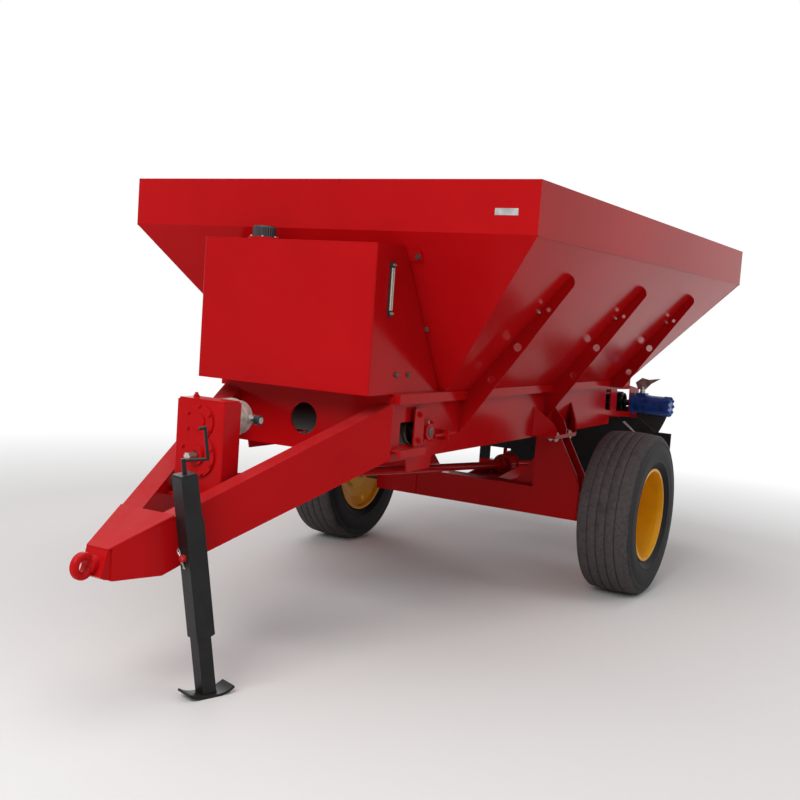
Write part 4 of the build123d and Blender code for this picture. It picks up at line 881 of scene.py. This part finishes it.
def buildMotorTrim():
    # the motor's through bolts and the hexagons of its adapters
    low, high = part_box("belt_motor")
    end = middle("drive_roller")
    end.x = high.x
    boltGroup("motorThroughBolts", boltRing(end, across, motor), "blue_paint")
    mesh = bmesh.new()
    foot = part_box("motor_fittings")[0].z
    for y in motor["adapterY"]:
        place = axisFrame((low.x + motor["adapterIn"] * mm, end.y + y * mm, foot), up)
        for radius, start, stop in motor["hexagons"]:
            prism(mesh, 6, radius * mm, (start * mm, stop * mm), place)
    piece("adapterHexagons", mesh, zincSteel, "chassis", 0.6)


buildMotorTrim()

spinner = {"vanes": 6, "footCorner": (60, 3.2, 6), "foot": (215, 24, 3), "boltOut": (110, 180, 250),
           "boltY": 15, "boltMm": 8, "nutUp": 40, "nutMm": 18}


def buildSpinnerTrim(side):
    # angle feet and bolts that hold each vane to its disc, and the hub's cap nut
    s = spinner
    place, _ = joint(f"spinner_{side}")
    feet = bmesh.new()
    bolts = []
    corner, size = Vector(s["footCorner"]) * mm, Vector(s["foot"]) * mm
    for n in range(s["vanes"]):
        turn = Matrix.Translation(place) @ Matrix.Rotation(math.tau * (n / s["vanes"] + 0.25), 4, "Z")
        slab(feet, corner, size, turn)
        for out in s["boltOut"]:
            bolts.append((turn @ Vector((out * mm, s["boltY"] * mm, corner.z + size.z)), up, s["boltMm"], 4))
    bolts.append((place + up * s["nutUp"] * mm, up, s["nutMm"], 0))
    piece(f"vaneFeet_{side}", feet, stainlessSheet, f"spinner_{side}", 0.8)
    boltGroup(f"vaneBolts_{side}", bolts, body=f"spinner_{side}")


for side in sides:
    buildSpinnerTrim(side)

driveLine = {"bolts": 8, "circleMm": 61, "boltMm": 10, "housingMm": 150, "endMm": 12, "z": 646, "unionMm": 63,
             "unionBack": 34, "unionOut": (0.8, -0.6), "hexagon": (11, 13),
             "union": ((12, 8), (20, 8), (22, 6)), "cradleX": (-95, 95), "cradleIn": (20, 124),
             "cradleDown": 73.3, "cradleMm": 12}


def buildDriveTrim():
    # bolts round the housing's front rim, two plated unions low on its body and the cradle's bolts
    d = driveLine
    end = Vector((0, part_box("axle_beam")[1].y - d["endMm"] * mm, d["z"] * mm))
    face = end - along * d["housingMm"] * mm
    boltGroup("housingRimBolts", boltRing(face, -along, d, math.pi / d["bolts"]), "red_paint")
    unions = bmesh.new()
    flats, deep = d["hexagon"]
    for side in (-1, 1):
        outward = across * side * d["unionOut"][0] + up * d["unionOut"][1]
        place = axisFrame(face + (along * d["unionBack"] + outward * d["unionMm"]) * mm, outward)
        prism(unions, 6, flats * mm, (0, deep * mm), place)
        lathe(unions, turned(d["union"]), place, 16)
    piece("housingUnions", unions, zincSteel, "chassis", 0.5)
    boltGroup("cradleBolts", [(end + Vector((x, -y, -d["cradleDown"])) * mm, up, d["cradleMm"], 0)
                              for x in d["cradleX"] for y in d["cradleIn"]])


buildDriveTrim()

guardTrim = {"boltX": (-880, -740, -610, -420, -200, 0, 200, 420, 610, 740, 880), "z": 660, "boltMm": 10,
             "stay": ((548, 962), (566, 972), (662, 892), (654, 886)), "stayOut": (4, 0.2)}


def buildGuardTrim():
    # a row of bolts along the guard, and the bright stay on its left shoulder
    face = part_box("spinner_guard")[0].y
    bolts = [(Vector((x * mm, face, guardTrim["z"] * mm)), -along, guardTrim["boltMm"], 0)
             for x in guardTrim["boltX"]]
    boltGroup("guardBolts", bolts, "black_paint")
    mesh = bmesh.new()
    joinRings(mesh, [[mesh.verts.new((x * mm, face - out * mm, z * mm)) for x, z in guardTrim["stay"]]
                     for out in guardTrim["stayOut"]])
    piece("guardStay", mesh, stainlessSheet, "chassis", 0.6)


buildGuardTrim()

apron = {"stripIn": 26, "stripDown": 40, "strip": (5, 34), "sunk": 0.2, "bolts": 10, "boltIn": 60,
         "boltDown": 23, "boltMm": 10}


def buildApronTrim():
    # a clamp strip and its bolts along the apron's top, behind
    low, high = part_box("drop_apron")
    thick, tall = Vector(apron["strip"]) * mm
    face = high.y - apron["sunk"] * mm
    left, right = low.x + apron["stripIn"] * mm, high.x - apron["stripIn"] * mm
    mesh = bmesh.new()
    slab(mesh, (left, face, high.z - apron["stripDown"] * mm), (right - left, thick, tall))
    piece("apronClampStrip", mesh, zincSteel, "chassis", 0.8)
    first, last = (Vector((x, face + thick, high.z - apron["boltDown"] * mm))
                   for x in (low.x + apron["boltIn"] * mm, high.x - apron["boltIn"] * mm))
    boltGroup("apronBolts", [(first.lerp(last, n / (apron["bolts"] - 1)), along, apron["boltMm"], 4)
                             for n in range(apron["bolts"])])


buildApronTrim()

gate = {"bolts": 6, "inMm": 16, "firstMm": 30, "pitchMm": 78, "boltMm": 10}


def buildGateTrim():
    # bolts down both keepers, square to the leaning wall
    low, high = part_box("gate_guides")
    _, lift = joint("gate_lift")
    normal = lift.cross(-across).normalized()
    bolts = []
    for x in (low.x + gate["inMm"] * mm, high.x - gate["inMm"] * mm):
        for n in range(gate["bolts"]):
            place = Vector((x, high.y, high.z)) - lift * (gate["firstMm"] + gate["pitchMm"] * n) * mm
            bolts.append((place, normal, gate["boltMm"], 0))
    boltGroup("gateKeeperBolts", bolts)


buildGateTrim()

belt = {"jointY": 1250, "clips": 34, "clip": (16, 18, 1.8), "clipY": (-20, 2), "clipIn": 12, "sunk": 0.3,
        "pinMm": 2.2, "pinIn": 10, "pinUp": 0.6}


def buildBeltJoint():
    # hinged metal fasteners across the belt
    low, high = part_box("floor_belt")
    hinge = at(0, belt["jointY"], 0).y
    left = low.x + belt["clipIn"] * mm
    pitch = (high.x - low.x - 2 * belt["clipIn"] * mm) / belt["clips"]
    mesh = bmesh.new()
    for n in range(belt["clips"]):
        for dy in belt["clipY"]:
            corner = (left + pitch * n, hinge + dy * mm, high.z - belt["sunk"] * mm)
            slab(mesh, corner, Vector(belt["clip"]) * mm)
    pin = axisFrame((0, hinge, high.z + belt["pinUp"] * mm), across)
    lathe(mesh, [(x, belt["pinMm"] * mm) for x in (low.x + belt["pinIn"] * mm, high.x - belt["pinIn"] * mm)],
          pin, 10)
    piece("beltFasteners", mesh, zincSteel, "chassis", 0.4)


buildBeltJoint()

frameTrim = {"seams": (((529, 976), (529, 1246)), ((440, 1248), (526, 1250))), "noseSeam": (61, -1402, 668),
             "noseIn": (1, 6), "stubMm": 72, "stubRadius": 33, "stubRise": 2, "stubBead": 2.6}


def buildFrameWelds():
    # seams where the drawbar meets the front cross member, along its nose and round the jack's stub
    f = frameTrim
    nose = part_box("drawbar_nose")[1]
    inY, inZ = Vector(f["noseIn"]) * mm
    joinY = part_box("drawbar_rail_left")[1].y - inY
    x, y, z = f["noseSeam"]
    mesh = bmesh.new()
    for sign in (-1, 1):
        for ends in f["seams"]:
            start, end = (Vector((sign * endX * mm, joinY, endZ * mm)) for endX, endZ in ends)
            weldBead(mesh, start, end)
        weldBead(mesh, at(sign * x, y, z), (sign * nose.x, nose.y - inY, nose.z - inZ))
    place, axis = joint("jack_swing")
    stub = axisFrame(place - axis * f["stubMm"] * mm, axis)
    loop = circle(f["stubRadius"] * mm, f["stubRise"] * mm, 32)
    tube(mesh, [stub @ p for p in loop + loop[:1]], f["stubBead"] * mm, 8)
    piece("frameWelds", mesh)


buildFrameWelds()
print("fittings, bolts and welds built")


# angles are yaw, pitch and roll in degrees
camera = {"place": (3154, -4526, 1727), "angles": (29.744, 4.931, 4.0375), "lensMm": 47.99}


def buildCamera():
    yaw, pitch, roll = (math.radians(angle) for angle in camera["angles"])
    forward = Vector((-math.sin(yaw) * math.cos(pitch), math.cos(yaw) * math.cos(pitch), -math.sin(pitch)))
    level = Vector((math.cos(yaw), math.sin(yaw), 0))
    over = level.cross(forward)
    right = math.cos(roll) * level + math.sin(roll) * over
    over = right.cross(forward)
    data = bpy.data.cameras.new("camera")
    data.lens = camera["lensMm"]
    data.sensor_width = 36
    data.clip_end = 200
    thing = bpy.data.objects.new("camera", data)
    turn = Matrix((right, over, -forward)).transposed()
    thing.matrix_world = Matrix.Translation(at(*camera["place"])) @ turn.to_4x4()
    scene.collection.objects.link(thing)
    scene.camera = thing


def seesBackdrop(owner):
    # 1 for the camera's rays and for what metal and glass reflect or let through
    path = add(owner, "LightPath")
    direct = add(owner, "Math", {0: (path, "Is Camera Ray"), 1: (path, "Is Glossy Ray")},
                 operation="MAXIMUM")
    return add(owner, "Math", {0: (direct, "Value"), 1: (path, "Is Transmission Ray")},
               operation="MAXIMUM")


stage = {"radius": 40.0, "plainWithin": 3.6, "whiteFrom": 7.0, "floor": "DAD8D5", "downMm": 0.5}


def buildStage():
    material, coords = newMaterial("paleFloorPainted")
    reach = add(material, "VectorMath", {0: coords}, operation="LENGTH")
    fade = remap(material, (reach, "Value"), stage["plainWithin"], stage["whiteFrom"])
    seen = seesBackdrop(material)
    share = multiply(material, (fade, "Result"), (seen, "Value"))
    matte = add(material, "BsdfPrincipled",
                {"Base Color": linear(stage["floor"]), "Roughness": 0.9})
    white = add(material, "Emission", {"Color": (1, 1, 1, 1), "Strength": 1.0})
    both = add(material, "MixShader",
               {"Fac": (share, "Value"), 1: (matte, "BSDF"), 2: (white, "Emission")})
    add(material, "OutputMaterial", {"Surface": (both, "Shader")})
    mesh = bmesh.new()
    bmesh.ops.create_circle(mesh, cap_ends=True, segments=96, radius=stage["radius"])
    floor = toObject("floor", mesh, material)
    floor.location.z = -stage["downMm"] * mm


light = {"sky": "E8ECF2", "skyStrength": 0.5,
         "lamps": [  # name, place, size, watts
             ("keyLamp", (0.5, -8.5, 6.5), 5.0, 540),
             ("sideLamp", (8.5, 1.5, 6.5), 5.0, 140),
             ("topLamp", (0.0, 0.5, 8.5), 6.0, 240),
             ("rearLamp", (-6.5, 6.0, 5.5), 5.0, 170)]}


def buildLight():
    world = bpy.data.worlds.new("studio")
    scene.world = world
    world.use_nodes = True
    world.node_tree.nodes.clear()
    seen = seesBackdrop(world)
    sky = add(world, "Background",
              {"Color": linear(light["sky"]), "Strength": light["skyStrength"]})
    backdrop = add(world, "Background", {"Color": (1, 1, 1, 1), "Strength": 1.0})
    both = add(world, "MixShader",
               {"Fac": (seen, "Value"), 1: (sky, "Background"), 2: (backdrop, "Background")})
    add(world, "OutputWorld", {"Surface": (both, "Shader")})
    for name, place, size, watts in light["lamps"]:
        data = bpy.data.lights.new(name, "AREA")
        data.size = size
        data.energy = watts
        lamp = bpy.data.objects.new(name, data)
        lamp.location = place
        aim = Vector((0, 0, 1.2)) - Vector(place)
        lamp.rotation_euler = aim.to_track_quat("-Z", "Y").to_euler()
        scene.collection.objects.link(lamp)


buildCamera()
buildStage()
buildLight()
scene.view_settings.view_transform = "Standard"
print("camera, stage and light set")
